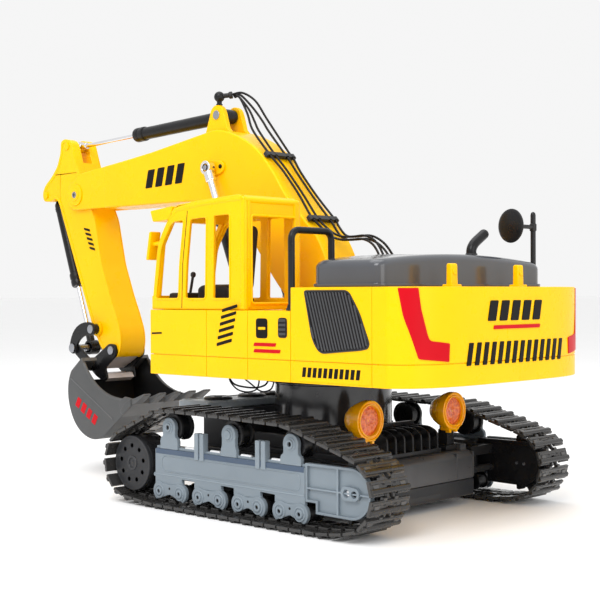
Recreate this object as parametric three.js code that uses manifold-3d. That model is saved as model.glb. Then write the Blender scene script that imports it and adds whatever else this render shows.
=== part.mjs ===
// A toy tracked excavator. Millimetres, +Z up.
// Every shape is drawn from the slew axis: X forward, Y to the left, Z up from the ground.
// The exported group then moves everything so that the origin is the middle of the footprint.

import * as THREE from "three";
import { mergeVertices } from "three/addons/utils/BufferGeometryUtils.js";
import Module from "manifold-3d";

const wasm = await Module();
wasm.setup();

// ---- driving dimensions ----------------------------------------------------------------

const REACH = { front: 346.4, rear: -157.4 };
const GAP = 0.3;
const ROUND = 14;

const TRACK = { y: 91, width: 36.5, belt: 3, grouser: 2, links: 50, floor: 5 };
const WHEEL = { x: 105, z: 28.6, wrap: 21, clear: 0.5 };
const CARRIERS = [
  { name: "front", x: 65.5, z: 57 },
  { name: "middle", x: 4, z: 56.4 },
  { name: "rear", x: -54, z: 55 },
];
const CARRIER_WRAP = 10.2;
const FRAME = { front: 80.5, rear: -66.3, low: 14.5, high: 43.2, face: 100.65, inner: 82, wall: 3 };
const BOGIE = { first: 74.9, pitch: 19.7, z: 11.4, roller: 6.1, boss: 5.2 };
const GEARBOX = { front: -66.9, end: 15.9, inner: 83.9, plate: 3.4, high: 44.2 };
const HULL = { rear: -82.8, front: 92, y: 58, low: 7, seam: 19, high: 39 };
const SLEW = { drum: 43, low: 39.3, high: 88, ring: 50, top: 94 };
const DECK = { front: 91, rear: 56, y: 72, low: 68, high: 73 };
const LAMP = { x: -75, y: 46, z: 68, r: 15 };

const HOUSE = { front: 85.8, y: 100.4, low: 94.3, sill: 140, high: 155, wall: 2.6 };
const ENGINE = { front: -58, rear: -122 };
const CHANNEL = { left: 34, right: -34, rear: -34, floor: 101 };
const TAIL = { corner: -134, bow: -157.4, inset: 100.4 };
const CAB = { rear: -9, right: 43.6, left: 98, low: 140.3, wall: 3 };

const FOOT = { x: 5, z: 140, r: 17 };
const LIFT = { base: [52, 112], pin: [108.2, 248.5], y: 24.5 };
const EAR = { x: 112, z: 291, r: 8, y: 7, t: 4.5 };
const ELBOW = { x: 289.6, z: 238.4 };
const HEAD_PIN = [307, 283];
const LUG_PIN = [339.5, 241];
const TIP = { x: 241, z: 103 };
const ROCKER_PIN = { x: 263, z: 121 };
const KNUCKLE = { x: 289, z: 104 };
const LINK_PIN = { x: 267.5, z: 89 };
const UPPER_CLAMP = { x: 55.2, z: 253.8, lean: 0.81 };
const LOWER_CLAMP = { x: 11.2, z: 204, lean: 0.79 };
const HOSE_LANES = [-12, -6, 6, 12];
const BOOM_HALF = 17;
const STICK_HALF = 13.5;
const BUCKET = { half: 36.5, wall: 2.5 };
const PIN = 3;
const PIN_BORE = 3.5;
// Room round the pins of the linkage that no joint holds.
const LOOSE = { lift: 1.2, arm: 1.4, bucket: 1.4, link: 0.8 };

// ---- materials ---------------------------------------------------------------------------

const finish = (color, roughness, metalness = 0) =>
  new THREE.MeshStandardMaterial({ color, roughness, metalness });
const YELLOW = finish(0xffd500, 0.35);
const BLACK = finish(0x17171a, 0.5);
const CHARCOAL = finish(0x45474b, 0.5);
const FRAME_GREY = finish(0xa9b3bf, 0.45);
const COVER_GREY = finish(0xa3a7ad, 0.3);
const CHROME = finish(0xe8e8ea, 0.12, 1);
const AMBER = finish(0xff8f12, 0.25);

// ---- solids ------------------------------------------------------------------------------

function solid(geometry) {
  const bare = geometry.clone();
  bare.deleteAttribute("normal");
  bare.deleteAttribute("uv");
  const merged = mergeVertices(bare, 1e-5);
  const vertProperties = new Float32Array(merged.attributes.position.array);
  const triVerts = new Uint32Array(merged.index.array);
  return new wasm.Manifold(new wasm.Mesh({ numProp: 3, vertProperties, triVerts }));
}

function geometryOf(body) {
  const mesh = body.getMesh();
  const geometry = new THREE.BufferGeometry();
  geometry.setAttribute("position", new THREE.BufferAttribute(mesh.vertProperties, 3));
  geometry.setIndex(new THREE.BufferAttribute(mesh.triVerts, 1));
  geometry.computeVertexNormals();
  return geometry;
}

const join = (...bodies) => bodies.reduce((whole, body) => whole.add(body));
const cut = (body, ...tools) => tools.reduce((whole, tool) => whole.subtract(tool), body);

/** A box from its low and high corner. */
function box(x0, x1, y0, y1, z0, z1) {
  const geometry = new THREE.BoxGeometry(x1 - x0, y1 - y0, z1 - z0);
  return solid(geometry.translate((x0 + x1) / 2, (y0 + y1) / 2, (z0 + z1) / 2));
}

/** A side outline in X and Z, drawn out from y0 to y1. */
function slab(shape, y0, y1, curveSegments = 4) {
  const depth = y1 - y0;
  const geometry = new THREE.ExtrudeGeometry(shape, { depth, bevelEnabled: false, curveSegments });
  return solid(geometry.rotateX(Math.PI / 2).translate(0, y1, 0));
}

/** A plan outline in X and Y, drawn up from z0 to z1. */
function prism(shape, z0, z1, curveSegments = 6) {
  const depth = z1 - z0;
  const geometry = new THREE.ExtrudeGeometry(shape, { depth, bevelEnabled: false, curveSegments });
  return solid(geometry.translate(0, 0, z0));
}

/** A round bar along Y at x, z. */
function disc(x, z, r, y0, y1, sides = ROUND) {
  const geometry = new THREE.CylinderGeometry(r, r, y1 - y0, sides);
  return solid(geometry.translate(x, (y0 + y1) / 2, z));
}

/** A round bar from point to point, each [x, y, z]. */
function bar(from, to, r0, r1 = r0, sides = 10) {
  const a = new THREE.Vector3(...from);
  const along = new THREE.Vector3(...to).sub(a);
  const geometry = new THREE.CylinderGeometry(r1, r0, along.length(), sides);
  const turn = new THREE.Quaternion().setFromUnitVectors(
    new THREE.Vector3(0, 1, 0),
    along.clone().normalize(),
  );
  geometry.applyQuaternion(turn);
  return solid(geometry.translate(...a.addScaledVector(along, 0.5).toArray()));
}

const ball = (x, y, z, r) => solid(new THREE.SphereGeometry(r, 8, 6).translate(x, y, z));

function outline(points) {
  return new THREE.Shape(points.map(([x, z]) => new THREE.Vector2(x, z)));
}

/** Two round ends of radius ra and rb joined by straight sides. */
function strap([ax, az], ra, [bx, bz], rb) {
  const angle = Math.atan2(bz - az, bx - ax);
  const spread = Math.PI / 2;
  const shape = new THREE.Shape();
  shape.absarc(ax, az, ra, angle + spread, angle + 3 * spread, false);
  shape.absarc(bx, bz, rb, angle - spread, angle + spread, false);
  shape.closePath();
  return shape;
}

/** A plain tube along a smooth route. */
function tube(route, diameter, sides, steps) {
  const section = new THREE.Shape();
  const at = (i) => (i * 2 * Math.PI) / sides;
  for (let i = 0; i < sides; i++) {
    const [u, v] = [Math.cos(at(i)), Math.sin(at(i))].map((k) => (k * diameter) / 2);
    if (i) section.lineTo(u, v);
    else section.moveTo(u, v);
  }
  const extrudePath = new THREE.CatmullRomCurve3(route.map((p) => new THREE.Vector3(...p)));
  return solid(new THREE.ExtrudeGeometry(section, { steps, bevelEnabled: false, extrudePath }));
}

const excavator = new THREE.Group();

function add(name, body, material) {
  const mesh = new THREE.Mesh(geometryOf(body), material);
  mesh.name = name;
  excavator.add(mesh);
}

/** Adds a piece drawn on the left and its mirror image on the right. */
function addPair(name, body, material) {
  add("left_" + name, body, material);
  add("right_" + name, body.mirror([0, 1, 0]), material);
}

// ---- tracks ------------------------------------------------------------------------------

/** The corners of the smallest loop that goes round all points, counter-clockwise. */
function hullOf(points) {
  const sorted = [...points].sort((a, b) => a[0] - b[0] || a[1] - b[1]);
  const turn = (o, a, b) => (a[0] - o[0]) * (b[1] - o[1]) - (a[1] - o[1]) * (b[0] - o[0]);
  const half = (list) => {
    const chain = [];
    for (const p of list) {
      while (chain.length > 1 && turn(chain.at(-2), chain.at(-1), p) <= 0) chain.pop();
      chain.push(p);
    }
    return chain.slice(0, -1);
  };
  return [...half(sorted), ...half(sorted.reverse())];
}

/** Where the belt's inner face runs: round the idler, carriers, sprocket and lower rollers. */
function beltLoop() {
  const low = TRACK.floor + BOGIE.roller;
  const circles = [
    [WHEEL.x, WHEEL.z, WHEEL.wrap],
    [-WHEEL.x, WHEEL.z, WHEEL.wrap],
    [BOGIE.first, low, BOGIE.roller],
    [-WHEEL.x + 20, low, BOGIE.roller],
    ...CARRIERS.map(({ x, z }) => [x, z, CARRIER_WRAP]),
  ];
  const sides = 24;
  const around = (i) => (i * 2 * Math.PI) / sides;
  const ring = ([x, z, r]) =>
    Array.from({ length: sides }, (_, i) => [x + r * Math.cos(around(i)), z + r * Math.sin(around(i))]);
  return hullOf(circles.flatMap(ring));
}

/** Walks the loop at an even pace: share 0 to 1 gives a point moved out from the loop. */
function walker(loop) {
  const sides = loop.map((a, i) => {
    const b = loop[(i + 1) % loop.length];
    return { a, b, length: Math.hypot(b[0] - a[0], b[1] - a[1]) };
  });
  const total = sides.reduce((sum, side) => sum + side.length, 0);
  return (share, out) => {
    let rest = share * total;
    const side = sides.find((s) => (rest -= s.length) <= 0) ?? sides.at(-1);
    const [dx, dz] = [side.b[0] - side.a[0], side.b[1] - side.a[1]].map((d) => d / side.length);
    const t = side.length + Math.min(rest, 0);
    return [side.a[0] + t * dx + out * dz, side.a[1] + t * dz - out * dx];
  };
}

function trackBelt() {
  const loop = beltLoop();
  const at = walker(loop);
  const tooth = TRACK.belt + TRACK.grouser;
  const steps = [[0.06, TRACK.belt], [0.1, tooth], [0.9, tooth], [0.94, TRACK.belt]];
  const rim = [];
  for (let link = 0; link < TRACK.links; link++)
    for (const [share, out] of steps) rim.push(at((link + share) / TRACK.links, out));
  const shape = outline(rim);
  shape.holes.push(new THREE.Path(loop.map(([x, z]) => new THREE.Vector2(x, z)).reverse()));
  return slab(shape, TRACK.y - TRACK.width / 2, TRACK.y + TRACK.width / 2);
}

/** A wheel turned about Y: [radius, y] points from bore to rim and back. */
function wheel(x, z, profile, sides = 20) {
  const closed = [...profile, profile[0]].map(([r, y]) => new THREE.Vector2(r, y));
  return solid(new THREE.LatheGeometry(closed, sides).translate(x, 0, z));
}

function idler() {
  const rim = WHEEL.wrap - WHEEL.clear;
  return wheel(WHEEL.x, WHEEL.z, [
    [PIN_BORE, 82], [rim, 82], [rim, 99], [19.4, 102], [PIN_BORE, 102],
  ]);
}

function sprocket() {
  const teeth = 12;
  const root = 17.5;
  const tip = WHEEL.wrap - WHEEL.clear;
  const shape = new THREE.Shape();
  for (let i = 0; i < teeth; i++) {
    const at = (i * 2 * Math.PI) / teeth;
    for (const [turn, r] of [[0, root], [0.15, root], [0.22, tip], [0.36, tip], [0.43, root]]) {
      const a = at + turn;
      const [x, z] = [-WHEEL.x + r * Math.cos(a), WHEEL.z + r * Math.sin(a)];
      if (i || turn) shape.lineTo(x, z);
      else shape.moveTo(x, z);
    }
  }
  shape.closePath();
  return cut(slab(shape, 87.8, 96), disc(-WHEEL.x, WHEEL.z, PIN_BORE, 80, 100));
}

function carrier({ x, z }) {
  const r = CARRIER_WRAP - WHEEL.clear;
  return wheel(x, z, [[2.5, 84.6], [r, 84.6], [r, 97.2], [2.5, 97.2]], 14);
}

/** Panel, carrier brackets, step posts, bogies with their rollers, and the beams to the hull. */
function sideFrame() {
  const { front, rear, low, high, face, inner, wall } = FRAME;
  const skin = face - wall;
  const pieces = [
    box(rear, front, skin, face, low + 4, high),
    box(rear, front - 4, inner, skin + 0.1, 20, high - 1),
    box(front - 16, WHEEL.x + 6, inner - 4, inner - GAP - 0.4, 22, 35),
    box(front - 16, front - 6, inner - 4.2, inner + 1, 22, 35),
    disc(WHEEL.x, WHEEL.z, PIN, inner - 1, face - 0.4, 12),
  ];
  for (const { x, z } of CARRIERS) {
    pieces.push(slab(strap([x, z], 6.6, [x, z - 6], 7), skin, face));
    pieces.push(box(x - 9, x + 9, skin, face, high - 1, z - 5));
    pieces.push(disc(x, z, 2.1, inner + 2, skin + 0.1, 8), disc(x, z, 3.6, face - 0.1, face + 1.2, 8));
  }
  for (const x of [33.1, -27]) {
    pieces.push(box(x - 4.6, x - 0.9, skin, face + 0.6, high - 6, 55.2));
    pieces.push(box(x + 0.9, x + 4.6, skin, face + 0.6, high - 6, 55.2));
  }
  for (let i = 0; i < 8; i++) {
    const x = BOGIE.first - i * BOGIE.pitch;
    pieces.push(disc(x, BOGIE.z, BOGIE.roller, inner + 2, skin + 0.1, 8));
    pieces.push(disc(x, BOGIE.z, BOGIE.boss, skin, face + 1, 6));
    if (i % 2) continue;
    pieces.push(slab(strap([x, BOGIE.z + 1], 5, [x - BOGIE.pitch, BOGIE.z + 1], 5), skin, face, 3));
    pieces.push(box(x - BOGIE.pitch - 4, x + 4, skin, face, BOGIE.z, low + 5));
  }
  for (const x of [34, -34])
    pieces.push(box(x - 12, x + 12, HULL.y + GAP, inner + 0.1, 22, 37));
  return join(...pieces);
}

function gearboxOutline(front) {
  const { end, high } = GEARBOX;
  const shape = new THREE.Shape();
  shape.moveTo(front, high);
  shape.lineTo(front, 20);
  shape.lineTo(-75.8, 20);
  shape.lineTo(-75.8, 13.8);
  shape.absarc(-WHEEL.x, WHEEL.z, end, -Math.PI / 2, -1.5 * Math.PI, true);
  shape.closePath();
  return shape;
}

function gearboxCover() {
  const plate = slab(gearboxOutline(GEARBOX.front), 96.4, FRAME.face - 1.2);
  const rim = slab(gearboxOutline(GEARBOX.front), 98, FRAME.face);
  const hollow = slab(
    outline([[-69, 42.2], [-69, 22], [-78, 22], [-78, 15.8], [-108, 15.8], [-116, 22], [-119, 28.6],
      [-116, 36], [-108, 42.2]]),
    FRAME.face - 1.2, FRAME.face + 1);
  const ribs = join(
    box(-119.4, -68, FRAME.face - 1.6, FRAME.face - 0.2, WHEEL.z - 0.8, WHEEL.z + 0.8),
    box(-94.6, -93.2, FRAME.face - 1.6, FRAME.face - 0.2, 14.6, 43.2),
    slab(strap([-101.9, 28.7], 4.6, [-107.9, 28.6], 4.2), FRAME.face - 1.6, FRAME.face + 0.8));
  const well = disc(-101.9, 28.7, 2.4, FRAME.face - 0.6, FRAME.face + 2, 10);
  return cut(join(cut(join(plate, rim), hollow), ribs), well);
}

function gearbox() {
  const { inner, plate } = GEARBOX;
  return join(
    slab(gearboxOutline(GEARBOX.front - GAP), inner, inner + plate),
    box(-82, GEARBOX.front - GAP, inner + 1, 96.1, 21, 43),
    disc(-WHEEL.x, WHEEL.z, PIN, inner + 1, 96.1, 12),
    bar([-79, HULL.y + GAP, 24], [-79, inner + 1, 24], 2.6),
  );
}

// ---- chassis -----------------------------------------------------------------------------

function chassisHull() {
  const { rear, front, y, low, seam, high } = HULL;
  const side = outline([
    [rear, seam + GAP], [rear, high - 5], [rear + 5, high], [front - 8, high], [front, high - 8],
    [front, low + 8], [front - 10, low], [-22, low], [-22, seam + GAP],
  ]);
  const tower = box(52, front - 6, -50, 50, high - 1, DECK.low - GAP);
  return join(slab(side, -y, y), tower);
}

function coolingFins() {
  const base = box(-74, -46, -31, 31, HULL.high + GAP, 42);
  const rib = new THREE.Shape();
  rib.moveTo(-47, 41.5);
  rib.lineTo(-47, 58);
  rib.lineTo(-64, 58);
  rib.quadraticCurveTo(-73, 57, -73, 50);
  rib.lineTo(-73, 41.5);
  const fins = Array.from({ length: 7 }, (_, i) => slab(rib, (i - 3) * 9.2 - 1, (i - 3) * 9.2 + 1, 4));
  return join(base, ...fins);
}

function frontDeck() {
  const { front, rear, y, low, high } = DECK;
  const plan = outline([[rear, -y], [front - 6, -y], [front, -y + 6], [front, y - 6], [front - 6, y],
    [rear, y]]);
  const pads = [46, 11.5, -11.5, -46].map((py) => {
    const pad = new THREE.CylinderGeometry(10, 10, 3, ROUND).rotateX(Math.PI / 2);
    return solid(pad.translate(73.5, py, high + 0.2));
  });
  return join(prism(plan, low, high), ...pads);
}

function turned(profile, z, sides = 24) {
  const closed = [[0, profile[0][1]], ...profile, [0, profile.at(-1)[1]]];
  const lathe = new THREE.LatheGeometry(closed.map(([r, h]) => new THREE.Vector2(r, h)), sides);
  return solid(lathe.rotateX(Math.PI / 2).translate(0, 0, z));
}

function lamp() {
  const { x, y, z, r } = LAMP;
  const bell = [[0, 0], [r, 0], [r, 6], [r - 1.6, 7], [r - 3, 13], [9, 19], [0, 20.5]];
  const lathe = new THREE.LatheGeometry(bell.map(([a, h]) => new THREE.Vector2(a, h)), 16);
  const bowl = solid(lathe.rotateZ(-Math.PI / 2).translate(x, y, z));
  const lens = disc(0, 0, 10.6, -1, 3).rotate([0, 0, 90]).translate([x - 1.2, y, z]);
  return join(cut(bowl, lens), box(x + 4, x + 12, y - 3, y + 3, HULL.high + GAP, z - 10));
}

// ---- house -------------------------------------------------------------------------------

function turntable() {
  const floor = box(-112, 80, -94, 94, SLEW.top + GAP, 97);
  return join(turned([[SLEW.ring, SLEW.high + GAP], [SLEW.ring, SLEW.top + 1]], 0), floor);
}

function houseShell() {
  const { front, y, low, sill, high, wall } = HOUSE;
  const side = outline([[ENGINE.rear, low], [front, low], [front, sill], [ENGINE.front, sill],
    [ENGINE.front, high], [ENGINE.rear, high]]);
  const room = outline([[ENGINE.rear + wall, low - 1], [front - wall, low - 1], [front - wall, sill - wall],
    [ENGINE.front - wall, sill - wall], [ENGINE.front - wall, high - wall],
    [ENGINE.rear + wall, high - wall]]);
  const right = box(-9, front, -y, CHANNEL.right - 1, sill - 1, high);
  const rightRoom = box(-9 + wall, front - wall, -y + wall, CHANNEL.right - 1 - wall, sill - 4, high - wall);
  const channel = box(CHANNEL.rear, front + 1, CHANNEL.right, CHANNEL.left, CHANNEL.floor, high + 1);
  const shell = cut(join(slab(side, -y, y), right), slab(room, -y + wall, y - wall), rightRoom, channel);
  const cheeks = [CHANNEL.left, CHANNEL.right - wall].map((at) =>
    box(CHANNEL.rear - wall, front, at, at + wall, CHANNEL.floor, sill));
  const back = box(CHANNEL.rear - wall, CHANNEL.rear, CHANNEL.right, CHANNEL.left, CHANNEL.floor, sill);
  return join(shell, ...cheeks, back);
}

function tailPlan(inset) {
  const shape = new THREE.Shape();
  const y = TAIL.inset - inset;
  shape.moveTo(ENGINE.rear - GAP, -y);
  shape.lineTo(TAIL.corner + 2, -y);
  shape.bezierCurveTo(TAIL.bow + inset, -y + 9, TAIL.bow + inset, -55, TAIL.bow + inset, 0);
  shape.bezierCurveTo(TAIL.bow + inset, 55, TAIL.bow + inset, y - 9, TAIL.corner + 2, y);
  shape.lineTo(ENGINE.rear - GAP, y);
  shape.closePath();
  return shape;
}

function counterweight() {
  const { low, high } = HOUSE;
  const shell = prism(tailPlan(0), low, high);
  const room = prism(tailPlan(4), low + 4, high - 4).translate([1, 0, 0]);
  const lugs = [37, -37].map((y) => box(-136.8, -132.2, y - 3.2, y + 3.2, high - 1, high + 15.2));
  return join(cut(shell, room), ...lugs);
}

function engineCover() {
  const shape = new THREE.Shape();
  const [x0, x1, y, r] = [-106, -75, 74, 8];
  shape.absarc(x1 - r, y - r, r, 0, Math.PI / 2);
  shape.absarc(x0 + r, y - r, r, Math.PI / 2, Math.PI);
  shape.absarc(x0 + r, -y + r, r, Math.PI, 1.5 * Math.PI);
  shape.absarc(x1 - r, -y + r, r, 1.5 * Math.PI, 2 * Math.PI);
  const settings = { depth: 1, bevelThickness: 22, bevelSize: 13, bevelSegments: 3, curveSegments: 3 };
  const pillow = solid(new THREE.ExtrudeGeometry(shape, settings).translate(0, 0, HOUSE.high));
  return pillow.intersect(box(-160, 0, -120, 120, HOUSE.high + GAP, 200));
}

function cab() {
  const { rear, right, left, low, wall } = CAB;
  const side = [[rear, low], [87, low], [80.2, 187.5], [69, 204], [60, 213.6], [-5, 217.6], [rear, 214.6]];
  const room = [[rear + wall, low - 1], [84.4, low - 1], [77.6, 186.6], [66.6, 202.6], [58.6, 210.8],
    [rear + wall, 214]];
  const windows = [
    [[57, 146], [82, 146], [76.4, 184], [64, 203.4], [51.3, 203.6], [56, 172]],
    [[29, 146], [50.6, 146], [49.4, 172], [45, 204.2], [27.8, 204.6]],
    [[4.8, 146], [21.8, 146], [20.8, 205], [4.8, 205.6]],
  ];
  const glazing = windows.map((points) => slab(outline(points), right - 5, left + 5));
  const rearWindow = box(rear - 2, rear + 5, right + 7, left - 8, 148, 206.5);
  const windscreen = box(62, 92, right + 4, left - 4, 150, 206);
  const visor = slab(outline([[62, 204], [86.4, 202.6], [88.6, 211.4], [62, 213.4]]), right + 3, left);
  const mirrorBoard = box(88.4, 92.4, left - 9, left, 176, 195);
  const stay = bar([79, left - 4, 187], [89, left - 4, 187], 1.6);
  const shell = cut(slab(outline(side), right, left), slab(outline(room), right + wall, left - wall));
  return join(cut(shell, ...glazing, rearWindow, windscreen), visor, mirrorBoard, stay);
}

function seat() {
  const pad = slab(outline([[12, 146], [50, 146], [50, 156], [14, 158]]), 57, 85);
  const back = slab(outline([[11, 150], [19, 150], [15, 197], [8, 196]]), 62, 82);
  const pedestal = box(18, 40, 62, 80, CAB.low + 0.2, 147);
  return join(pad, back, pedestal);
}

function handrail() {
  const [x, y0, y1, z0, z1, knee] = [-52, 97, 59, HOUSE.sill + GAP, 192, 6];
  const post = (y) => [[x, y, z0], [x, y, z0 + 15], [x, y, z1 - 2 * knee], [x, y, z1 - knee]];
  const top = [[x, y0 - knee, z1], [x, (y0 + y1) / 2, z1], [x, y1 + knee, z1]];
  return tube([...post(y0), ...top, ...post(y1).reverse()], 4, 8, 30);
}

function tailMirror() {
  const [x, y, top] = [-112, -90, 209];
  return join(
    bar([x, y, HOUSE.high + 0.6], [x, y, top], 2, 2, 10),
    bar([x, y, 198], [x, y + 26, 198], 1.4, 1.4, 8),
    solid(new THREE.CylinderGeometry(12, 12, 3.4, 20).translate(x, y + 27, 198)),
  );
}

function exhaust() {
  const [x, y] = [-104, -26];
  const foot = bar([x, y, 178.6], [x, y, 183], 3.8, 3.4);
  return join(foot, ball(x, y, 183, 3.4), bar([x, y, 183], [x, y - 15, 193], 3.4, 3.2));
}

function boomBracket() {
  const foot = [
    [-14, 97.3], [34, 97.3], [20, 140], [16, 152], [-6, 152], [-14, 142],
  ];
  const plates = [BOOM_HALF + GAP, -BOOM_HALF - GAP - 3].map((y) => slab(outline(foot), y, y + 3));
  const [bx, bz] = LIFT.base;
  const lugs = [1, -1].map((s) => {
    const [y0, y1] = [s * (LIFT.y - 5.6), s * (LIFT.y - 3.4)].sort((a, b) => a - b);
    const lug = slab(strap([bx, bz], 5, [bx, 104], 6), y0, y1);
    const pinSpan = [s * (LIFT.y - 3.5), s * (LIFT.y + 3.2)].sort((a, b) => a - b);
    return join(lug, disc(bx, bz, 2, ...pinSpan, 10));
  });
  const base = box(-16, 62, -29, 29, 97.3, 100.4);
  const pin = disc(FOOT.x, FOOT.z, 4, -BOOM_HALF - 2, BOOM_HALF + 2, 14);
  return join(base, ...plates, ...lugs, pin);
}

// ---- boom --------------------------------------------------------------------------------

function boomOutline() {
  const shape = new THREE.Shape();
  shape.moveTo(22, 140);
  shape.quadraticCurveTo(38, 153, 53.4, 173.4);
  shape.lineTo(70, 195);
  shape.quadraticCurveTo(91, 223, 130, 224.3);
  shape.lineTo(286, 225);
  shape.absarc(ELBOW.x, ELBOW.z, 13.4, -Math.PI / 2, Math.PI / 2.4, false);
  shape.lineTo(284, 257);
  shape.lineTo(257, 259.8);
  shape.lineTo(187, 267.4);
  shape.lineTo(119, 277.4);
  shape.splineThru([[104, 278.4], [82, 271.5], [61, 259], [45.5, 242.6], [30, 222], [10.4, 202.5], [-3, 187],
    [-11, 167], [-12, 140]].map((p) => new THREE.Vector2(...p)));
  shape.absarc(FOOT.x, FOOT.z, FOOT.r, Math.PI, 2 * Math.PI, false);
  return shape;
}

function boom() {
  const body = slab(boomOutline(), -BOOM_HALF, BOOM_HALF, 5);
  const slot = STICK_HALF + GAP;
  const sweep = join(
    disc(ELBOW.x, ELBOW.z, 40, -slot, slot, 32),
    box(ELBOW.x, ELBOW.x + 40, -slot, slot, 200, 300),
  );
  const ears = [EAR.y, -EAR.y - EAR.t].map((y) => {
    const tip = disc(EAR.x, EAR.z, EAR.r, y, y + EAR.t);
    const root = slab(outline([[132, 272], [125, 278], [119.6, 293], [104.6, 293], [100, 280], [92, 272]]), y,
      y + EAR.t);
    return join(tip, root);
  });
  const bosses = [1, -1].map((s) => {
    const [y0, y1] = [s * (BOOM_HALF - 0.5), s * (BOOM_HALF + 2)].sort((a, b) => a - b);
    const pin = [s * BOOM_HALF, s * (LIFT.y + 3.4)].sort((a, b) => a - b);
    return join(slab(strap(LIFT.pin, 7, [94, 238], 5), y0, y1), disc(...LIFT.pin, 2, ...pin, 10));
  });
  const bores = join(
    disc(FOOT.x, FOOT.z, 4.5, -BOOM_HALF - 1, BOOM_HALF + 1, 14),
    disc(ELBOW.x, ELBOW.z, 4.5, -BOOM_HALF - 1, BOOM_HALF + 1, 14),
    disc(EAR.x, EAR.z, 2.6, -EAR.y - 8, EAR.y + 8, 12),
  );
  return cut(join(body, ...ears, ...bosses), sweep, bores);
}

const elbowPin = () => disc(ELBOW.x, ELBOW.z, 4, -BOOM_HALF - 1, BOOM_HALF + 1, 14);

function hoseGuide() {
  const [x, y, z] = [EAR.x - 1, EAR.y + EAR.t / 2, EAR.z + EAR.r + GAP];
  const arm = bar([x, y, z + 7], [x - 8, y - 5, z + 7], 2, 1.6, 8);
  return join(bar([x, y, z], [x, y, z + 4], 2.2), ball(x, y, z + 6, 4.2), arm);
}

/** A place on the back of the boom, given along the clamp's own directions. */
function onClamp({ x, z, lean }, along, y, out) {
  const [c, k] = [Math.cos(lean), Math.sin(lean)];
  return [x + along * c - out * k, y, z + along * k + out * c];
}

/** A bar across the back of the boom with a groove for each hose. */
function hoseClamp({ x, z, lean }) {
  const half = BOOM_HALF - 1.5;
  const strip = box(-2.2, 2.2, -half, half, 0.8, 4);
  const grooves = HOSE_LANES.map((y) => box(-4, 4, y - 1.3, y + 1.3, 1.7, 5));
  const turn = (-lean * 180) / Math.PI;
  return cut(strip, ...grooves).rotate([0, turn, 0]).translate([x, 0, z]);
}

// ---- stick, bucket and linkage -----------------------------------------------------------

function stick() {
  const side = outline([
    [236, 97], [248, 97], [258, 104], [270, 121.7], [274.6, 132.3], [295.2, 178], [312.9, 217.6], [319, 232],
    [324, 238], [334, 235], [343, 235.6], [345, 243], [341, 249.8], [330.2, 257.5], [322, 266], [317, 277.8],
    [316.4, 288], [310, 290], [301, 287], [292, 262.6], [267, 216], [257.4, 177], [246, 150], [238, 134],
    [232.4, 121], [231, 112.5], [232, 104],
  ]);
  const headSlot = box(290, 330, -4.6, 4.6, 270, 300);
  const lugSlot = box(326.6, 350, -6, 6, 225, 252);
  const bores = join(
    disc(ELBOW.x, ELBOW.z, 4.5, -20, 20, 14),
    disc(TIP.x, TIP.z, PIN_BORE, -20, 20, 12),
    disc(ROCKER_PIN.x, ROCKER_PIN.z, PIN_BORE, -20, 20, 12),
  );
  const pins = [disc(...HEAD_PIN, 1.7, -6, 6, 10), disc(...LUG_PIN, 2, -7, 7, 10)];
  return join(cut(slab(side, -STICK_HALF, STICK_HALF), headSlot, lugSlot, bores), ...pins);
}

function rocker() {
  const arch = new THREE.Shape();
  arch.absarc(ROCKER_PIN.x, ROCKER_PIN.z, 5.4, 0.6 * Math.PI, 1.6 * Math.PI, false);
  arch.quadraticCurveTo(280, 116, 285, 103);
  arch.absarc(KNUCKLE.x, KNUCKLE.z, 5, Math.PI, 2.1 * Math.PI, false);
  arch.quadraticCurveTo(289, 129, 262, 127);
  const plates = [19.1, -21.4].map((y) => slab(arch, y, y + 2.3, 4));
  const bore = disc(KNUCKLE.x, KNUCKLE.z, PIN_BORE, -22, 22, 12);
  return join(cut(join(...plates), bore), disc(ROCKER_PIN.x, ROCKER_PIN.z, PIN, -20, 20, 12));
}

function bucketLink() {
  const strip = strap([KNUCKLE.x, KNUCKLE.z], 4.4, [LINK_PIN.x, LINK_PIN.z], 4.4);
  const plates = [16.5, -18.7].map((y) => slab(strip, y, y + 2.2, 5));
  const bore = disc(LINK_PIN.x, LINK_PIN.z, 2 + LOOSE.link, -20, 20, 12);
  return join(cut(join(...plates), bore), disc(KNUCKLE.x, KNUCKLE.z, PIN, -22, 22, 12));
}

function bucketHinge() {
  const ear = outline([[236, 108], [244, 109], [264, 97], [272.6, 93], [272, 87], [262, 80], [252, 76],
    [247, 79], [250, 88], [236, 98], [235, 103]]);
  const plates = [13.9, -16.1].map((y) => slab(ear, y, y + 2.2));
  const web = slab(outline([[247, 79], [252, 76], [262, 80], [264, 83], [250, 83]]), -15, 15);
  const pins = [disc(TIP.x, TIP.z, PIN, -15, 15, 12), disc(LINK_PIN.x, LINK_PIN.z, 2, -19.4, 19.4, 10)];
  return join(...plates, web, ...pins);
}

function bucketOutline(inset) {
  const shape = new THREE.Shape();
  const k = inset;
  shape.moveTo(186 - 2 * k, 62.5 + 2 * k);
  shape.lineTo(224 + k * 0.3, 34 + k);
  shape.quadraticCurveTo(236, 26 + k, 250 - k * 0.3, 31 + k);
  shape.quadraticCurveTo(270 - k, 38 + k, 275 - k, 62);
  shape.quadraticCurveTo(277 - k, 76, 270.4 - k, 85.8);
  shape.lineTo(256 - k, 97);
  shape.quadraticCurveTo(238 - k, 64.5 + 4 * k, 200, 64.2 + 4 * k);
  shape.lineTo(186 - 2 * k, 65.6 + 4 * k);
  return shape;
}

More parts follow.
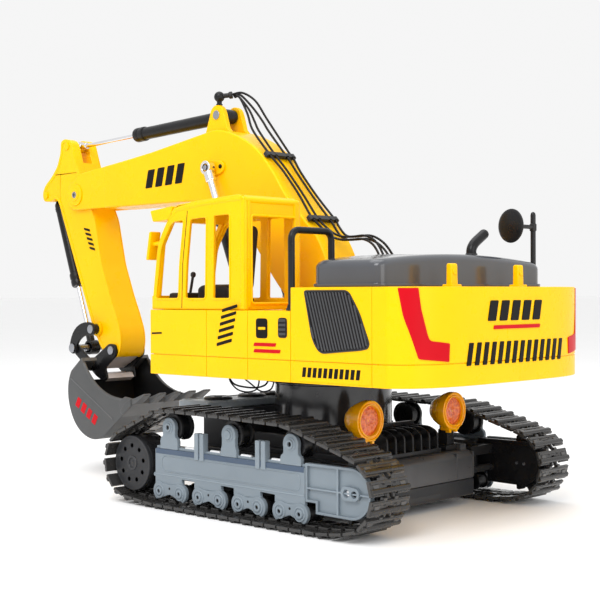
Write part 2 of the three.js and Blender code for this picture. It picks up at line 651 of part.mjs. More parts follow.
function bucket() {
  const { half, wall } = BUCKET;
  const shell = slab(bucketOutline(0), -half, half);
  const room = new THREE.Shape();
  room.moveTo(170, 76);
  room.lineTo(190, 63.6);
  room.lineTo(225, 37);
  room.quadraticCurveTo(236, 29.4, 249, 33.6);
  room.quadraticCurveTo(268, 40.6, 272.4, 62);
  room.quadraticCurveTo(274, 75, 268.2, 84);
  room.lineTo(253, 95.6);
  room.lineTo(230, 120);
  room.lineTo(170, 120);
  const lip = [];
  for (let i = 0; i < 5; i++) {
    const y = (i - 2) * 16.2;
    const tooth = outline([[190, 60.4], [190, 64.4], [173, 70.6], [172, 69.4], [184, 62]]);
    lip.push(slab(tooth, y - 4, y + 4));
  }
  const hingeSlot = box(240, 282, -20, 20, 78, 120);
  const hollow = slab(room, -half + wall, half - wall);
  return join(cut(shell, hollow, hingeSlot), ...lip);
}

// ---- cylinders ---------------------------------------------------------------------------

/** A cylinder between two pins in the plane y: a hollow barrel at from, its rod ending at to. */
function ram({ from, to, y, barrel, rod, length, eye, rodEye, buried }) {
  const span = Math.hypot(to[0] - from[0], to[1] - from[1]);
  const [dx, dz] = [(to[0] - from[0]) / span, (to[1] - from[1]) / span];
  const at = (s) => [from[0] + s * dx, y, from[1] + s * dz];
  const across = (at, r, half) => disc(at[0], at[1], r, y - half, y + half, 12);
  const neck = bar(at(0), at(eye.r + 4), eye.half, eye.half, 8);
  const outer = join(across(from, eye.r, eye.half), neck, bar(at(eye.r + 3), at(length), barrel, barrel, 12),
    bar(at(length - 12), at(length), barrel + 0.9, barrel + 0.9, 12));
  const hollow = cut(outer, bar(at(eye.r + 6), at(length + 1), rod + 0.35, rod + 0.35, 10));
  const stem = join(bar(at(buried), at(span - 1), rod, rod, 10), across(to, rodEye.r, rodEye.half));
  return {
    barrel: eye.pin ? join(hollow, across(from, eye.pin, eye.reach)) : cut(hollow, across(from, eye.bore, 20)),
    rod: cut(stem, across(to, rodEye.bore, 20)),
  };
}

const liftRam = ram({ from: LIFT.base, to: LIFT.pin, y: LIFT.y, barrel: 5.4, rod: 3, length: 112,
  eye: { r: 5.2, half: 2.8, bore: 2.4 }, rodEye: { r: 5.4, half: 3, bore: 2 + LOOSE.lift }, buried: 34 });
const armRam = ram({ from: [EAR.x, EAR.z], to: HEAD_PIN, y: 0, barrel: 5.2, rod: 1.8, length: 116,
  eye: { r: 5.6, half: 6.4, pin: 2.2, reach: 11.4 },
  rodEye: { r: 5, half: 4, bore: 1.7 + LOOSE.arm }, buried: 52 });
const bucketRam = ram({ from: LUG_PIN, to: [KNUCKLE.x, KNUCKLE.z], y: 0, barrel: 5, rod: 2.2, length: 88,
  eye: { r: 5.2, half: 5.4, bore: 2.4 },
  rodEye: { r: 6.4, half: 4.5, bore: PIN + LOOSE.bucket }, buried: 30 });

// ---- hoses -------------------------------------------------------------------------------

const HOSE = 1.6;
const GUIDE_END = [101.6, 3.4, 307];
const UPPER_LEADS = [
  [[92, 2, 307], [82, -2, 300], [73, -6, 285]],
  [[69.4, -2, 276], [65.6, -4.4, 270.6]],
  [[72.4, 4.4, 276], [67, 5.6, 270.6]],
  [[93, 4.6, 303.4], [83, 6, 290], [74, 9, 276]],
];

/** A hose: down from the guide, through its groove in both clamps, and on into the bundle. */
function hoseRoute(lane) {
  const y = HOSE_LANES[lane];
  const start = lane === 0 || lane === 3 ? [[GUIDE_END[0], GUIDE_END[1] - lane * 0.7, GUIDE_END[2] - lane * 0.7]] : [];
  const sag = [41, y * 0.8, 242.4];
  const low = [25, y * 0.8, 224];
  return [
    ...start, ...UPPER_LEADS[lane],
    onClamp(UPPER_CLAMP, 3.4, y, 2.9), onClamp(UPPER_CLAMP, -3.4, y, 2.9),
    sag, low,
    onClamp(LOWER_CLAMP, 3.4, y, 2.9), onClamp(LOWER_CLAMP, -3.4, y, 2.9),
  ];
}

const BUNDLE_ROUTE = [[3.2, 0, 201.4], [-2, 0, 197.4], [-8, 0, 192.6], [-18, 0, 190.4], [-30, 0, 190.6],
  [-40, 0, 188], [-48, 0, 181], [-54, 0, 170], [-56, 0, 158]];
const WIRE_ROUTE = [[44, 62, 94], [43.4, 62, 90], [38, 62, 86.4], [28, 61, 85], [18, 60, 85.2], [10, 60, 87.4],
  [6.6, 60, 91], [6, 60, 94]];

// ---- assembly ----------------------------------------------------------------------------

add("chassis_hull", chassisHull(), CHARCOAL);
add("battery_cover", box(HULL.rear, -22 - GAP, -HULL.y, HULL.y, HULL.low, HULL.seam), CHARCOAL);
add("cooling_fins", coolingFins(), BLACK);
add("front_deck", frontDeck(), FRAME_GREY);
add("slew_base", turned([[38, SLEW.low], [38, 56], [SLEW.drum, 60], [SLEW.drum, SLEW.high]], 0), BLACK);

addPair("side_frame", sideFrame(), FRAME_GREY);
addPair("track", trackBelt(), BLACK);
addPair("idler", idler(), CHARCOAL);
addPair("sprocket", sprocket(), BLACK);
addPair("gearbox", gearbox(), BLACK);
addPair("gearbox_cover", gearboxCover(), FRAME_GREY);
for (const place of CARRIERS) addPair(place.name + "_carrier_roller", carrier(place), BLACK);
addPair("tail_lamp", lamp(), AMBER);

add("turntable", turntable(), BLACK);
add("house_shell", houseShell(), YELLOW);
add("counterweight", counterweight(), YELLOW);
add("engine_cover", engineCover(), COVER_GREY);
add("cab", cab(), YELLOW);
add("cab_seat", seat(), BLACK);
add("handrail", handrail(), BLACK);
add("tail_mirror", tailMirror(), BLACK);
add("exhaust", exhaust(), BLACK);
add("boom_bracket", boomBracket(), CHARCOAL);

add("boom", boom(), YELLOW);
add("elbow_pin", elbowPin(), CHROME);
add("hose_guide", hoseGuide(), BLACK);
add("upper_hose_clamp", hoseClamp(UPPER_CLAMP), BLACK);
add("lower_hose_clamp", hoseClamp(LOWER_CLAMP), BLACK);
add("stick", stick(), YELLOW);
add("rocker", rocker(), BLACK);
add("bucket_link", bucketLink(), BLACK);
add("bucket_hinge", bucketHinge(), FRAME_GREY);
add("bucket", bucket(), CHARCOAL);

addPair("lift_barrel", liftRam.barrel, BLACK);
addPair("lift_rod", liftRam.rod, CHROME);
add("arm_barrel", armRam.barrel, BLACK);
add("arm_rod", armRam.rod, CHROME);
add("bucket_barrel", bucketRam.barrel, BLACK);
add("bucket_rod", bucketRam.rod, CHROME);

HOSE_LANES.forEach((_, lane) => add("hose_" + (lane + 1), tube(hoseRoute(lane), HOSE, 8, 18), BLACK));
add("hose_bundle", tube(BUNDLE_ROUTE, 5, 8, 14), BLACK);
add("belly_wire", tube(WIRE_ROUTE, 1.4, 8, 16), BLACK);

excavator.position.x = -(REACH.front + REACH.rear) / 2;

export default excavator;
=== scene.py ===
"""Looks of a toy tracked excavator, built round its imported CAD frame.

Shapes are drawn in millimetres from the slew axis: x forward, y to the left, z up from the ground.
"""

import math

import bmesh
import bpy
from mathutils import Matrix, Vector


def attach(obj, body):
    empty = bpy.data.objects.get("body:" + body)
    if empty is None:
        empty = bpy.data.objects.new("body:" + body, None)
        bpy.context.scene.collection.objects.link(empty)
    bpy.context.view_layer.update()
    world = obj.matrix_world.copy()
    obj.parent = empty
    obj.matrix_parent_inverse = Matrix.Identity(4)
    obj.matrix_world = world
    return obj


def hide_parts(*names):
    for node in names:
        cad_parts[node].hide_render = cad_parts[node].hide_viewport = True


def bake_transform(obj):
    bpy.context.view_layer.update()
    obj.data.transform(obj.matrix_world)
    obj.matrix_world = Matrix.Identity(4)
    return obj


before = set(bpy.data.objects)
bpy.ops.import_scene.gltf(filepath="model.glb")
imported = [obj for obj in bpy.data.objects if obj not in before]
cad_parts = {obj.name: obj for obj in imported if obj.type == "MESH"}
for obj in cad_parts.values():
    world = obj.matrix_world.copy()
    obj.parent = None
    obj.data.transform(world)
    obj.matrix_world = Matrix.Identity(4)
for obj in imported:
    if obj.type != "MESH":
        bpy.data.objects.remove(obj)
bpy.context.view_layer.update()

MM = 0.001
SHIFT = -94.5  # from the slew axis to the middle of the footprint


def place(x, y, z):
    return Vector(((x + SHIFT) * MM, y * MM, z * MM))


# ---- camera ------------------------------------------------------------------------------

SENSOR, LENS_LENGTH = 36, 73.64  # millimetres
EYE = (-599.06, 661.49, 151.19)


def make_camera():
    """The photo's viewpoint: behind the toy and to its left, a little above the tracks."""
    data = bpy.data.cameras.new("camera")
    data.sensor_width = SENSOR
    data.lens = LENS_LENGTH
    camera = bpy.data.objects.new("camera", data)
    right = Vector((-0.72286, -0.69099, -0.00367))
    up = Vector((0.00109, -0.00644, 0.99998))
    back = right.cross(up)
    turn = Matrix((right, up, back)).transposed().to_4x4()
    camera.matrix_world = Matrix.Translation(place(*EYE)) @ turn
    bpy.context.scene.collection.objects.link(camera)
    bpy.context.scene.camera = camera


make_camera()
bpy.context.scene.view_settings.view_transform = "Standard"


# ---- materials ---------------------------------------------------------------------------

MIX_A, MIX_B, MIX_RESULT = 6, 7, 2  # a colour mix node's sockets
EDGE_WEAR_AND_HIGHLIGHT = 0.53, 0.62  # pointiness where an edge starts to look rubbed and to carry a painted highlight, and where it is fully so


def nodes_of(name):
    material = bpy.data.materials.new(name)
    material.use_nodes = True
    tree = material.node_tree
    return material, tree, tree.nodes["Principled BSDF"]


def link(tree, a, b):
    tree.links.new(a, b)


def put(node, values):
    """Sets the node's sockets by name."""
    for key, value in values.items():
        node.inputs[key].default_value = value


def bumped(tree, shader, height, strength, depth):
    """Relief from a texture, depth in millimetres."""
    bump = tree.nodes.new("ShaderNodeBump")
    put(bump, {"Strength": strength, "Distance": depth * MM})
    link(tree, height, bump.inputs["Height"])
    link(tree, bump.outputs["Normal"], shader.inputs["Normal"])


def noise_node(tree, scale, detail=3, stretch=None, rough=0.5):
    """A noise texture in the object's own coordinates; scale is in waves per millimetre."""
    coord = tree.nodes.new("ShaderNodeTexCoord")
    out = coord.outputs["Object"]
    if stretch:
        mapping = tree.nodes.new("ShaderNodeMapping")
        mapping.inputs["Scale"].default_value = stretch
        link(tree, out, mapping.inputs["Vector"])
        out = mapping.outputs["Vector"]
    texture = tree.nodes.new("ShaderNodeTexNoise")
    put(texture, {"Scale": scale / MM, "Detail": detail, "Roughness": rough})
    link(tree, out, texture.inputs["Vector"])
    return texture.outputs["Fac"]


def span(tree, value, low, high, start=0.3, end=0.7):
    """A value between start and end mapped to low to high."""
    node = tree.nodes.new("ShaderNodeMapRange")
    put(node, {"From Min": start, "From Max": end, "To Min": low, "To Max": high})
    link(tree, value, node.inputs["Value"])
    return node.outputs["Result"]


def mixed(tree, factor, a, b):
    """Two colours mixed; the first may be another node's output."""
    node = tree.nodes.new("ShaderNodeMix")
    node.data_type = "RGBA"
    if isinstance(a, bpy.types.NodeSocket):
        link(tree, a, node.inputs[MIX_A])
    else:
        node.inputs[MIX_A].default_value = (*a, 1)
    node.inputs[MIX_B].default_value = (*b, 1)
    link(tree, factor, node.inputs[0])
    return node.outputs[MIX_RESULT]


def shade(colour, k):
    return tuple(min(1, c * k) for c in colour)


def plastic(name, colour, rough=0.35, spread=0.08, grain=0.6, depth=0.02, vary=0.1, coat=0.0,
            glow=0.0, edge=0.0, gloss=0.3):
    """Moulded plastic: slow colour drift, uneven gloss, a fine moulded grain, and edges lightened
    by pointiness, partly rubbed wear and partly painted highlight.
    """
    material, tree, shader = nodes_of(name)
    slow = span(tree, noise_node(tree, 0.02, 4), 0, 1)
    base = mixed(tree, slow, shade(colour, 1 - vary), shade(colour, 1 + vary * 0.6))
    # lighter edges from pointiness: partly rubbed wear, partly painted highlight
    if edge:
        pointy = tree.nodes.new("ShaderNodeNewGeometry").outputs["Pointiness"]
        worn_and_highlit = [min(1, c * 1.6 + 0.06) for c in colour]
        base = mixed(tree, span(tree, pointy, 0, edge, *EDGE_WEAR_AND_HIGHLIGHT), base, worn_and_highlit)
    link(tree, base, shader.inputs["Base Color"])
    patchy = span(tree, noise_node(tree, 0.09, 5, rough=0.6), rough - spread, rough + spread)
    link(tree, patchy, shader.inputs["Roughness"])
    bumped(tree, shader, noise_node(tree, grain, 2), 0.35, depth)
    put(shader, {"Specular IOR Level": gloss, "Coat Weight": coat, "Coat Roughness": 0.12})
    if glow:
        put(shader,
            {"Subsurface Weight": glow, "Subsurface Radius": (1.0, 0.5, 0.1),
             "Subsurface Scale": 2 * MM})
    return material


def plated(name, colour, rough):
    """Polished metal with fine drawn lines."""
    material, tree, shader = nodes_of(name)
    drift = span(tree, noise_node(tree, 0.05, 3), 0, 1)
    link(tree, mixed(tree, drift, shade(colour, 0.9), colour), shader.inputs["Base Color"])
    shader.inputs["Metallic"].default_value = 1
    lines = noise_node(tree, 0.3, 4, stretch=(1, 1, 8))
    link(tree, span(tree, lines, rough * 0.6, rough * 1.6), shader.inputs["Roughness"])
    bumped(tree, shader, lines, 0.15, 0.01)
    return material


def faceted(name, colour):
    """A lamp lens pressed into small facets, with the light from its reflector painted into its
    colour: darker facet middles, paler facet edges.
    """
    material, tree, shader = nodes_of(name)
    coord = tree.nodes.new("ShaderNodeTexCoord").outputs["Object"]
    cells = tree.nodes.new("ShaderNodeTexVoronoi")
    cells.inputs["Scale"].default_value = 0.42 / MM
    link(tree, coord, cells.inputs["Vector"])
    # painted reflector light: each facet paler towards its edges
    painted_reflector_light = mixed(tree, cells.outputs["Distance"], shade(colour, 0.6),
                 [min(1, colour[0] + 0.1), colour[1] + 0.13, colour[2] + 0.02])
    link(tree, painted_reflector_light, shader.inputs["Base Color"])
    link(tree, span(tree, noise_node(tree, 0.4, 2), 0.06, 0.16), shader.inputs["Roughness"])
    put(shader, {"Coat Weight": 0.6})
    bumped(tree, shader, cells.outputs["Distance"], 0.9, 1.2)
    return material


# name, colour, roughness and its spread, waves of grain per mm, grain depth in mm, colour drift
YELLOW = plastic("yellow", (1.0, 0.535, 0.0), 0.3, 0.06, 0.5, 0.012, 0.04, glow=0.1, gloss=0.16)
BLACK = plastic("black", (0.009, 0.009, 0.010), 0.3, 0.1, 0.7, 0.02, 0.25, edge=0.3, gloss=0.24)
# the shoes' edges lightened strongly: partly rubbed wear, partly painted highlight on their rims
TRACK = plastic("track_black", (0.010, 0.009, 0.0085), 0.24, 0.09, 0.9, 0.03, 0.3, edge=0.9,
                gloss=0.5)
CHARCOAL = plastic("charcoal", (0.021, 0.022, 0.025), 0.4, 0.1, 0.7, 0.03, 0.15, edge=0.4,
                   gloss=0.3)
BUCKET = plastic("bucket_grey", (0.066, 0.068, 0.070), 0.42, 0.08, 0.6, 0.03, 0.12, edge=0.5,
                 gloss=0.4)
# near-black for the bucket's inside: painted shade in its hollow
BUCKET_INSIDE_SHADE = plastic("bucket_inside_shade", (0.012, 0.012, 0.013), 0.45, 0.08, 0.6, 0.03, 0.12)
HULL = plastic("hull_grey", (0.045, 0.046, 0.050), 0.36, 0.1, 0.6, 0.03, 0.2, edge=0.35)
FRAME_GREY = plastic("frame_grey", (0.195, 0.235, 0.270), 0.36, 0.08, 0.8, 0.02, 0.08, edge=0.35)
FRAME_BLUE = plastic("frame_blue", (0.060, 0.090, 0.140), 0.4, 0.08, 0.8, 0.02, 0.08)
DECK = plastic("deck_grey", (0.34, 0.38, 0.41), 0.3, 0.08, 0.8, 0.02, 0.08, edge=0.35)
TAB = plastic("tab_white", (0.74, 0.75, 0.77), 0.35, 0.08, 0.6, 0.02, 0.06)
PALE = plastic("web_grey", (0.55, 0.50, 0.48), 0.35, 0.08, 0.6, 0.02, 0.06)
COVER = plastic("cover_grey", (0.062, 0.066, 0.076), 0.16, 0.05, 0.4, 0.01, 0.1, coat=0.6)
GRILLE = plastic("grille_grey", (0.040, 0.041, 0.044), 0.45, 0.08, 0.9, 0.02, 0.2, edge=0.4)
MARK = plastic("mark_black", (0.006, 0.005, 0.005), 0.4, 0.06, 0.5, 0.004, 0.1, gloss=0.12)
RED = plastic("mark_red", (0.53, 0.001, 0.008), 0.34, 0.05, 0.5, 0.004, 0.08, gloss=0.12)
AMBER = plastic("amber", (1.0, 0.42, 0.0), 0.24, 0.05, 0.4, 0.01, 0.06, coat=0.3, glow=0.2)
LENS = faceted("lens", (1.0, 0.10, 0.012))
CHROME = plated("chrome", (0.82, 0.82, 0.84), 0.12)
SCREW = plated("screw", (0.38, 0.39, 0.42), 0.3)
HOSE = plastic("hose_black", (0.010, 0.009, 0.009), 0.4, 0.08, 1.2, 0.02, 0.2, gloss=0.2)
DRUM = plastic("drum_black", (0.020, 0.020, 0.022), 0.2, 0.08, 0.4, 0.02, 0.3, coat=0.3, gloss=0.4)
SEAT = plastic("seat_black", (0.014, 0.013, 0.014), 0.5, 0.08, 0.8, 0.05, 0.2, edge=0.3, gloss=0.2)


# ---- mesh building -----------------------------------------------------------------------


class Piece:
    """Closed shapes gathered into one object. Lengths in millimetres."""

    def __init__(self, name, body, slot, *replaced, smooth=38):
        self.name, self.body, self.slot, self.replaced = name, body, slot, replaced
        self.smooth = smooth
        self.verts, self.faces, self.picks, self.materials = [], [], [], []

    def add(self, verts, faces, material):
        if material not in self.materials:
            self.materials.append(material)
        start, pick = len(self.verts), self.materials.index(material)
        self.verts += [tuple(v) for v in verts]
        self.faces += [[start + i for i in f] for f in faces]
        self.picks += [pick] * len(faces)
        return self

    def mirrored(self):
        self.verts = [(x, -y, z) for x, y, z in self.verts]
        self.faces = [f[::-1] for f in self.faces]
        return self

    def make(self, free=False):
        mesh = bpy.data.meshes.new(self.name)
        mesh.from_pydata([place(*v) for v in self.verts], [], self.faces)
        for m in self.materials:
            mesh.materials.append(m)
        mesh.polygons.foreach_set("material_index", self.picks)
        bm = bmesh.new()
        bm.from_mesh(mesh)
        bmesh.ops.recalc_face_normals(bm, faces=bm.faces[:])
        bm.to_mesh(mesh)
        bm.free()
        mesh.shade_smooth()
        mesh.set_sharp_from_angle(angle=math.radians(self.smooth))
        piece = bpy.data.objects.new(self.name, mesh)
        bpy.context.scene.collection.objects.link(piece)
        normals = piece.modifiers.new("normals", "WEIGHTED_NORMAL")
        normals.keep_sharp = True
        if not free:
            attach(piece, self.body)
        if self.replaced:
            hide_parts(*self.replaced)
        return piece


def both(build, name, body, slot, *replaced):
    """Makes a piece drawn for the left side and its mirror image for the right."""
    for side, flip in (("left_", False), ("right_", True)):
        own = body if body in ("chassis", "house", "boom", "stick") else side + body
        piece = Piece(side + name, own, slot, *[side + r for r in replaced])
        build(piece)
        (piece.mirrored() if flip else piece).make()


def moved(data, matrix):
    return [matrix @ Vector(v) for v in data[0]], data[1]


def from_bmesh(bm):
    bm.verts.index_update()
    data = [v.co.copy() for v in bm.verts], [[v.index for v in f.verts] for f in bm.faces]
    bm.free()
    return data


def block(x0, x1, y0, y1, z0, z1, bevel=0.6, steps=2):
    """A box with eased edges."""
    bm = bmesh.new()
    bmesh.ops.create_cube(bm, size=1)
    for v in bm.verts:
        v.co = Vector(((x0 + x1) / 2 + v.co.x * (x1 - x0), (y0 + y1) / 2 + v.co.y * (y1 - y0),
                       (z0 + z1) / 2 + v.co.z * (z1 - z0)))
    bevel = min(bevel, 0.45 * min(x1 - x0, y1 - y0, z1 - z0))
    if bevel > 0.01:
        bmesh.ops.bevel(bm, geom=bm.edges[:], offset=bevel, segments=steps, profile=0.6,
                        affect="EDGES")
    return from_bmesh(bm)


def panel(loops, depth, bevel=0.5, steps=2):
    """A plate centred on z = 0 with eased edges: one outline, or a list of a rim and its holes."""
    if not isinstance(loops[0][0], (list, tuple)):
        loops = [loops]
    curve = bpy.data.curves.new("outline", "CURVE")
    curve.dimensions = "2D"
    curve.fill_mode = "BOTH"
    curve.extrude = max(0.001, depth / 2 - bevel)
    curve.bevel_depth = bevel
    curve.bevel_resolution = steps - 1
    curve.offset = -bevel
    for loop in loops:
        spline = curve.splines.new("POLY")
        spline.points.add(len(loop) - 1)
        for point, (u, v) in zip(spline.points, loop):
            point.co = (u, v, 0, 1)
        spline.use_cyclic_u = True
    holder = bpy.data.objects.new("outline", curve)
    mesh = bpy.data.meshes.new_from_object(holder)
    bm = bmesh.new()
    bm.from_mesh(mesh)
    bmesh.ops.remove_doubles(bm, verts=bm.verts[:], dist=0.004)
    bmesh.ops.recalc_face_normals(bm, faces=bm.faces[:])
    bpy.data.objects.remove(holder)
    bpy.data.curves.remove(curve)
    bpy.data.meshes.remove(mesh)
    return from_bmesh(bm)


def slab(loops, y0, y1, bevel=0.5, steps=2):
    """Outlines in x and z, standing between y0 and y1."""
    turn = Matrix(((1, 0, 0, 0), (0, 0, 1, (y0 + y1) / 2), (0, 1, 0, 0), (0, 0, 0, 1)))
    verts, faces = moved(panel(loops, abs(y1 - y0), bevel, steps), turn)
    return verts, [f[::-1] for f in faces]


def prism(loops, z0, z1, bevel=0.5, steps=2):
    """Outlines in x and y, standing between z0 and z1."""
    return moved(panel(loops, z1 - z0, bevel, steps), Matrix.Translation((0, 0, (z0 + z1) / 2)))


def wall(loops, x0, x1, bevel=0.5, steps=2):
    """Outlines in y and z, standing between x0 and x1."""
    turn = Matrix(((0, 0, 1, (x0 + x1) / 2), (1, 0, 0, 0), (0, 1, 0, 0), (0, 0, 0, 1)))
    return moved(panel(loops, abs(x1 - x0), bevel, steps), turn)


def arc(cx, cz, r, start, end, steps=12):
    """Points on a circle, angles in degrees."""
    turns = [math.radians(start + (end - start) * i / steps) for i in range(steps + 1)]
    return [(cx + r * math.cos(t), cz + r * math.sin(t)) for t in turns]


def pair(s, a, b):
    """The distances a and b on side s, 1 for left and -1 for right, in rising order."""
    return sorted((s * a, s * b))


def circle(cx, cz, r, steps=32):
    return arc(cx, cz, r, 0, 360 - 360 / steps, steps - 1)


def rounded(points, r, steps=5):
    """A closed outline with every corner eased to radius r, or to the radius beside the point."""
    out = []
    for i, p in enumerate(points):
        ease = p[2] if len(p) > 2 else r
        before, after = points[i - 1], points[(i + 1) % len(points)]
        p0, p1, p2 = Vector(before[:2]), Vector(p[:2]), Vector(after[:2])
        a, b = (p0 - p1), (p2 - p1)
        reach = min(ease, a.length * 0.45, b.length * 0.45)
        if reach < 0.05:
            out.append(tuple(p1))
            continue
        start, end = p1 + a.normalized() * reach, p1 + b.normalized() * reach
        for k in range(steps + 1):
            t = k / steps
            out.append(tuple((1 - t) ** 2 * start + 2 * t * (1 - t) * p1 + t * t * end))
    return out


def strap(a, ra, b, rb, steps=14):
    """Two round ends joined by straight sides."""
    angle = math.degrees(math.atan2(b[1] - a[1], b[0] - a[0]))
    return arc(*a, ra, angle + 90, angle + 270, steps) + arc(*b, rb, angle - 90, angle + 90, steps)


def smooth_line(points, steps=6, closed=False):
    """A Catmull-Rom line through the points, in any number of dimensions."""
    n, out = len(points), []
    pick = (lambda i: points[i % n]) if closed else (lambda i: points[max(0, min(n - 1, i))])
    for i in range(n if closed else n - 1):
        p = [pick(i + k) for k in (-1, 0, 1, 2)]
        for s in range(steps):
            t = s / steps
            w = (-t + 2 * t**2 - t**3, 2 - 5 * t**2 + 3 * t**3, t + 4 * t**2 - 3 * t**3,
                 t**3 - t**2)
            out.append(tuple(sum(w[k] * p[k][d] for k in range(4)) / 2 for d in range(len(p[0]))))
    return out if closed else out + [tuple(points[-1])]


def outline_inset(loop, d):
    """The outline moved inwards by d, corner by corner."""
    n = len(loop)
    area = sum(a[0] * b[1] - b[0] * a[1] for a, b in zip(loop, loop[1:] + loop[:1]))
    turn = 1 if area > 0 else -1
    out = []
    for i in range(n):
        a, p, b = Vector(loop[i - 1]), Vector(loop[i]), Vector(loop[(i + 1) % n])
        u, v = (p - a), (b - p)
        if u.length < 1e-6 or v.length < 1e-6:
            continue
        u.normalize()
        v.normalize()
        normal = Vector((-(u.y + v.y), u.x + v.x)) * turn
        if normal.length < 1e-6:
            continue
        normal.normalize()
        cosine = max(0.35, normal.dot(Vector((-u.y, u.x)) * turn))
        out.append(tuple(p + normal * min(d / cosine, 2.2 * d)))
    return [p for i, p in enumerate(out) if math.dist(p, out[i - 1]) > 0.05]


def clip(loop, keep, value):
    """The part of a closed outline on one side of a line: keep(point) is positive inside."""
    out = []
    for a, b in zip(loop, loop[1:] + loop[:1]):
        ka, kb = keep(a) - value, keep(b) - value
        if ka >= 0:
            out.append(a)
        if ka * kb < 0:
            t = ka / (ka - kb)
            out.append((a[0] + t * (b[0] - a[0]), a[1] + t * (b[1] - a[1])))
    return out


def turned(a, b, profile, sides=28):
    """A profile of (distance from a, radius) turned about the line from a to b."""
    a, b = Vector(a), Vector(b)
    along = (b - a).normalized()
    u = along.orthogonal().normalized()
    v = along.cross(u)
    rings = [(a + along * h, max(r, 0.0)) for h, r in profile]
    verts, faces, starts = [], [], []
    for centre, r in rings:
        starts.append(len(verts))
        if r < 1e-6:
            verts.append(centre)
            continue
        for k in range(sides):
            t = 2 * math.pi * k / sides
            verts.append(centre + (u * math.cos(t) + v * math.sin(t)) * r)
    for i in range(len(rings) - 1):
        s0, s1 = starts[i], starts[i + 1]
        flat0, flat1 = rings[i][1] < 1e-6, rings[i + 1][1] < 1e-6
        for k in range(sides):
            n = (k + 1) % sides
            if flat0 and flat1:
                continue
            if flat0:
                faces.append([s0, s1 + n, s1 + k])
            elif flat1:
                faces.append([s0 + k, s0 + n, s1])
            else:
                faces.append([s0 + k, s0 + n, s1 + n, s1 + k])
    if rings[0][1] > 1e-6:
        faces.append([starts[0] + k for k in range(sides)][::-1])
    if rings[-1][1] > 1e-6:
        faces.append([starts[-1] + k for k in range(sides)])
    return verts, faces


def disc(x, z, r, y0, y1, bevel=0.4, sides=28):
    """A round plate across y, its edges eased."""
    h = abs(y1 - y0)
    e = min(bevel, h * 0.45, r * 0.4)
    profile = [(0, 0), (0, r - e), (e * 0.3, r - e * 0.3), (e, r), (h - e, r),
               (h - e * 0.3, r - e * 0.3), (h, r - e), (h, 0)]
    return turned((x, min(y0, y1), z), (x, max(y0, y1), z), profile, sides)


def tube(points, r, sides=10, closed=False, knots=0.0):
    """A round tube through the points, its ends closed; knots swells every second ring."""
    pts = [Vector(p) for p in points]
    n = len(pts)
    tangent = []
    for i in range(n):
        before = pts[i - 1] if closed or i else pts[0]
        after = pts[(i + 1) % n] if closed or i < n - 1 else pts[-1]
        tangent.append((after - before).normalized())
    side = tangent[0].orthogonal().normalized()
    verts, faces = [], []
    for i in range(n):
        side = (side - tangent[i] * side.dot(tangent[i])).normalized()
        other = tangent[i].cross(side)
        for k in range(sides):
            t = 2 * math.pi * k / sides
            thick = r * (1 + knots * (1 if i % 2 else -1))
            verts.append(pts[i] + (side * math.cos(t) + other * math.sin(t)) * thick)
    for i in range(n if closed else n - 1):
        a, b = i * sides, ((i + 1) % n) * sides
        for k in range(sides):
            m = (k + 1) % sides
            faces.append([a + k, a + m, b + m, b + k])
    if not closed:
        faces.append(list(range(sides))[::-1])
        faces.append([(n - 1) * sides + k for k in range(sides)])
    return verts, faces


def screw(x, z, y, side, r):
    """A sunk cross-head screw facing +y or -y at depth y: (head, slots); the slots are dark bars
    standing on the head, painted shade of the cross recess.
    """
    head = disc(x, z, r, y - side * 0.2, y - side * 1.2, 0.3, 16)
    # the cross slots as near-black bars: painted shade of the recess
    slot_shades = [block(x - r * 0.6, x + r * 0.6, y - 0.15, y + 0.02, z - 0.25, z + 0.25, 0.05, 1),
            block(x - 0.25, x + 0.25, y - 0.15, y + 0.02, z - r * 0.6, z + r * 0.6, 0.05, 1)]
    return head, slot_shades


# ---- hoses -------------------------------------------------------------------------------

UPPER_CLAMP, LOWER_CLAMP = (55.2, 253.8, 0.81), (11.2, 204, 0.79)  # x, z and lean in radians
LANES = (-12, -6, 6, 12)  # the four hoses' y in a clamp
LEADS = ([(92, 2, 307), (82, -2, 300), (73, -6, 285)],
         [(94, 2.6, 305.6), (84, -1, 295), (75.4, -3, 284), (69.4, -3.4, 276)],
         [(95, 4.0, 304.6), (85, 2.4, 293.6), (77.4, 3.4, 283), (71, 5, 275)],
         [(93, 4.6, 303.4), (83, 6, 290), (74, 9, 276)])


def on_clamp(clamp, along, y, out):
    """A point beside a clamp: along the boom, across it, and out from its skin."""
    x, z, lean = clamp
    c, s = math.cos(lean), math.sin(lean)
    return (x + along * c - out * s, y, z + along * s + out * c)


def hose_route(lane):
    """From the guide at the boom's top, through both clamps."""
    y = LANES[lane]
    line = [(101.6, 3.4 - 0.7 * lane, 307 - 0.7 * lane)] + LEADS[lane]
    line += [on_clamp(UPPER_CLAMP, a, y, 2.9) for a in (3.4, -3.4)]
    line += [(41, 0.8 * y, 242.4), (25, 0.8 * y, 224)]
    return line + [on_clamp(LOWER_CLAMP, a, y, 2.9) for a in (3.4, -3.4)]


def evenly(points, step):
    """The same line with points a step apart."""
    out, left = [points[0]], step
    for a, b in zip(points, points[1:]):
        a, b = Vector(a), Vector(b)
        span_length = (b - a).length
        while span_length > left:
            a = a + (b - a).normalized() * left
            span_length -= left
            out.append(tuple(a))
            left = step
        left -= span_length
    return out + [points[-1]]


def hose(name, body, points, d, node=None, step=0.75, slim=0.93, knots=0.1,
         free=False):
    """A hose as a tube along its route, d thick before it is slimmed."""
    fine = evenly(smooth_line(points, 12), step)
    piece = Piece(name, body, "black_plastic", *([node] if node else []), smooth=70)
    piece.add(*tube(fine, d / 2 * slim, 10, knots=knots), HOSE)
    made = piece.make(free=free)
    return made


for lane in range(4):
    hose(f"boom_hose_{lane + 1}", "boom", hose_route(lane), 1.9, f"hose_{lane + 1}")


# ---- chassis -----------------------------------------------------------------------------

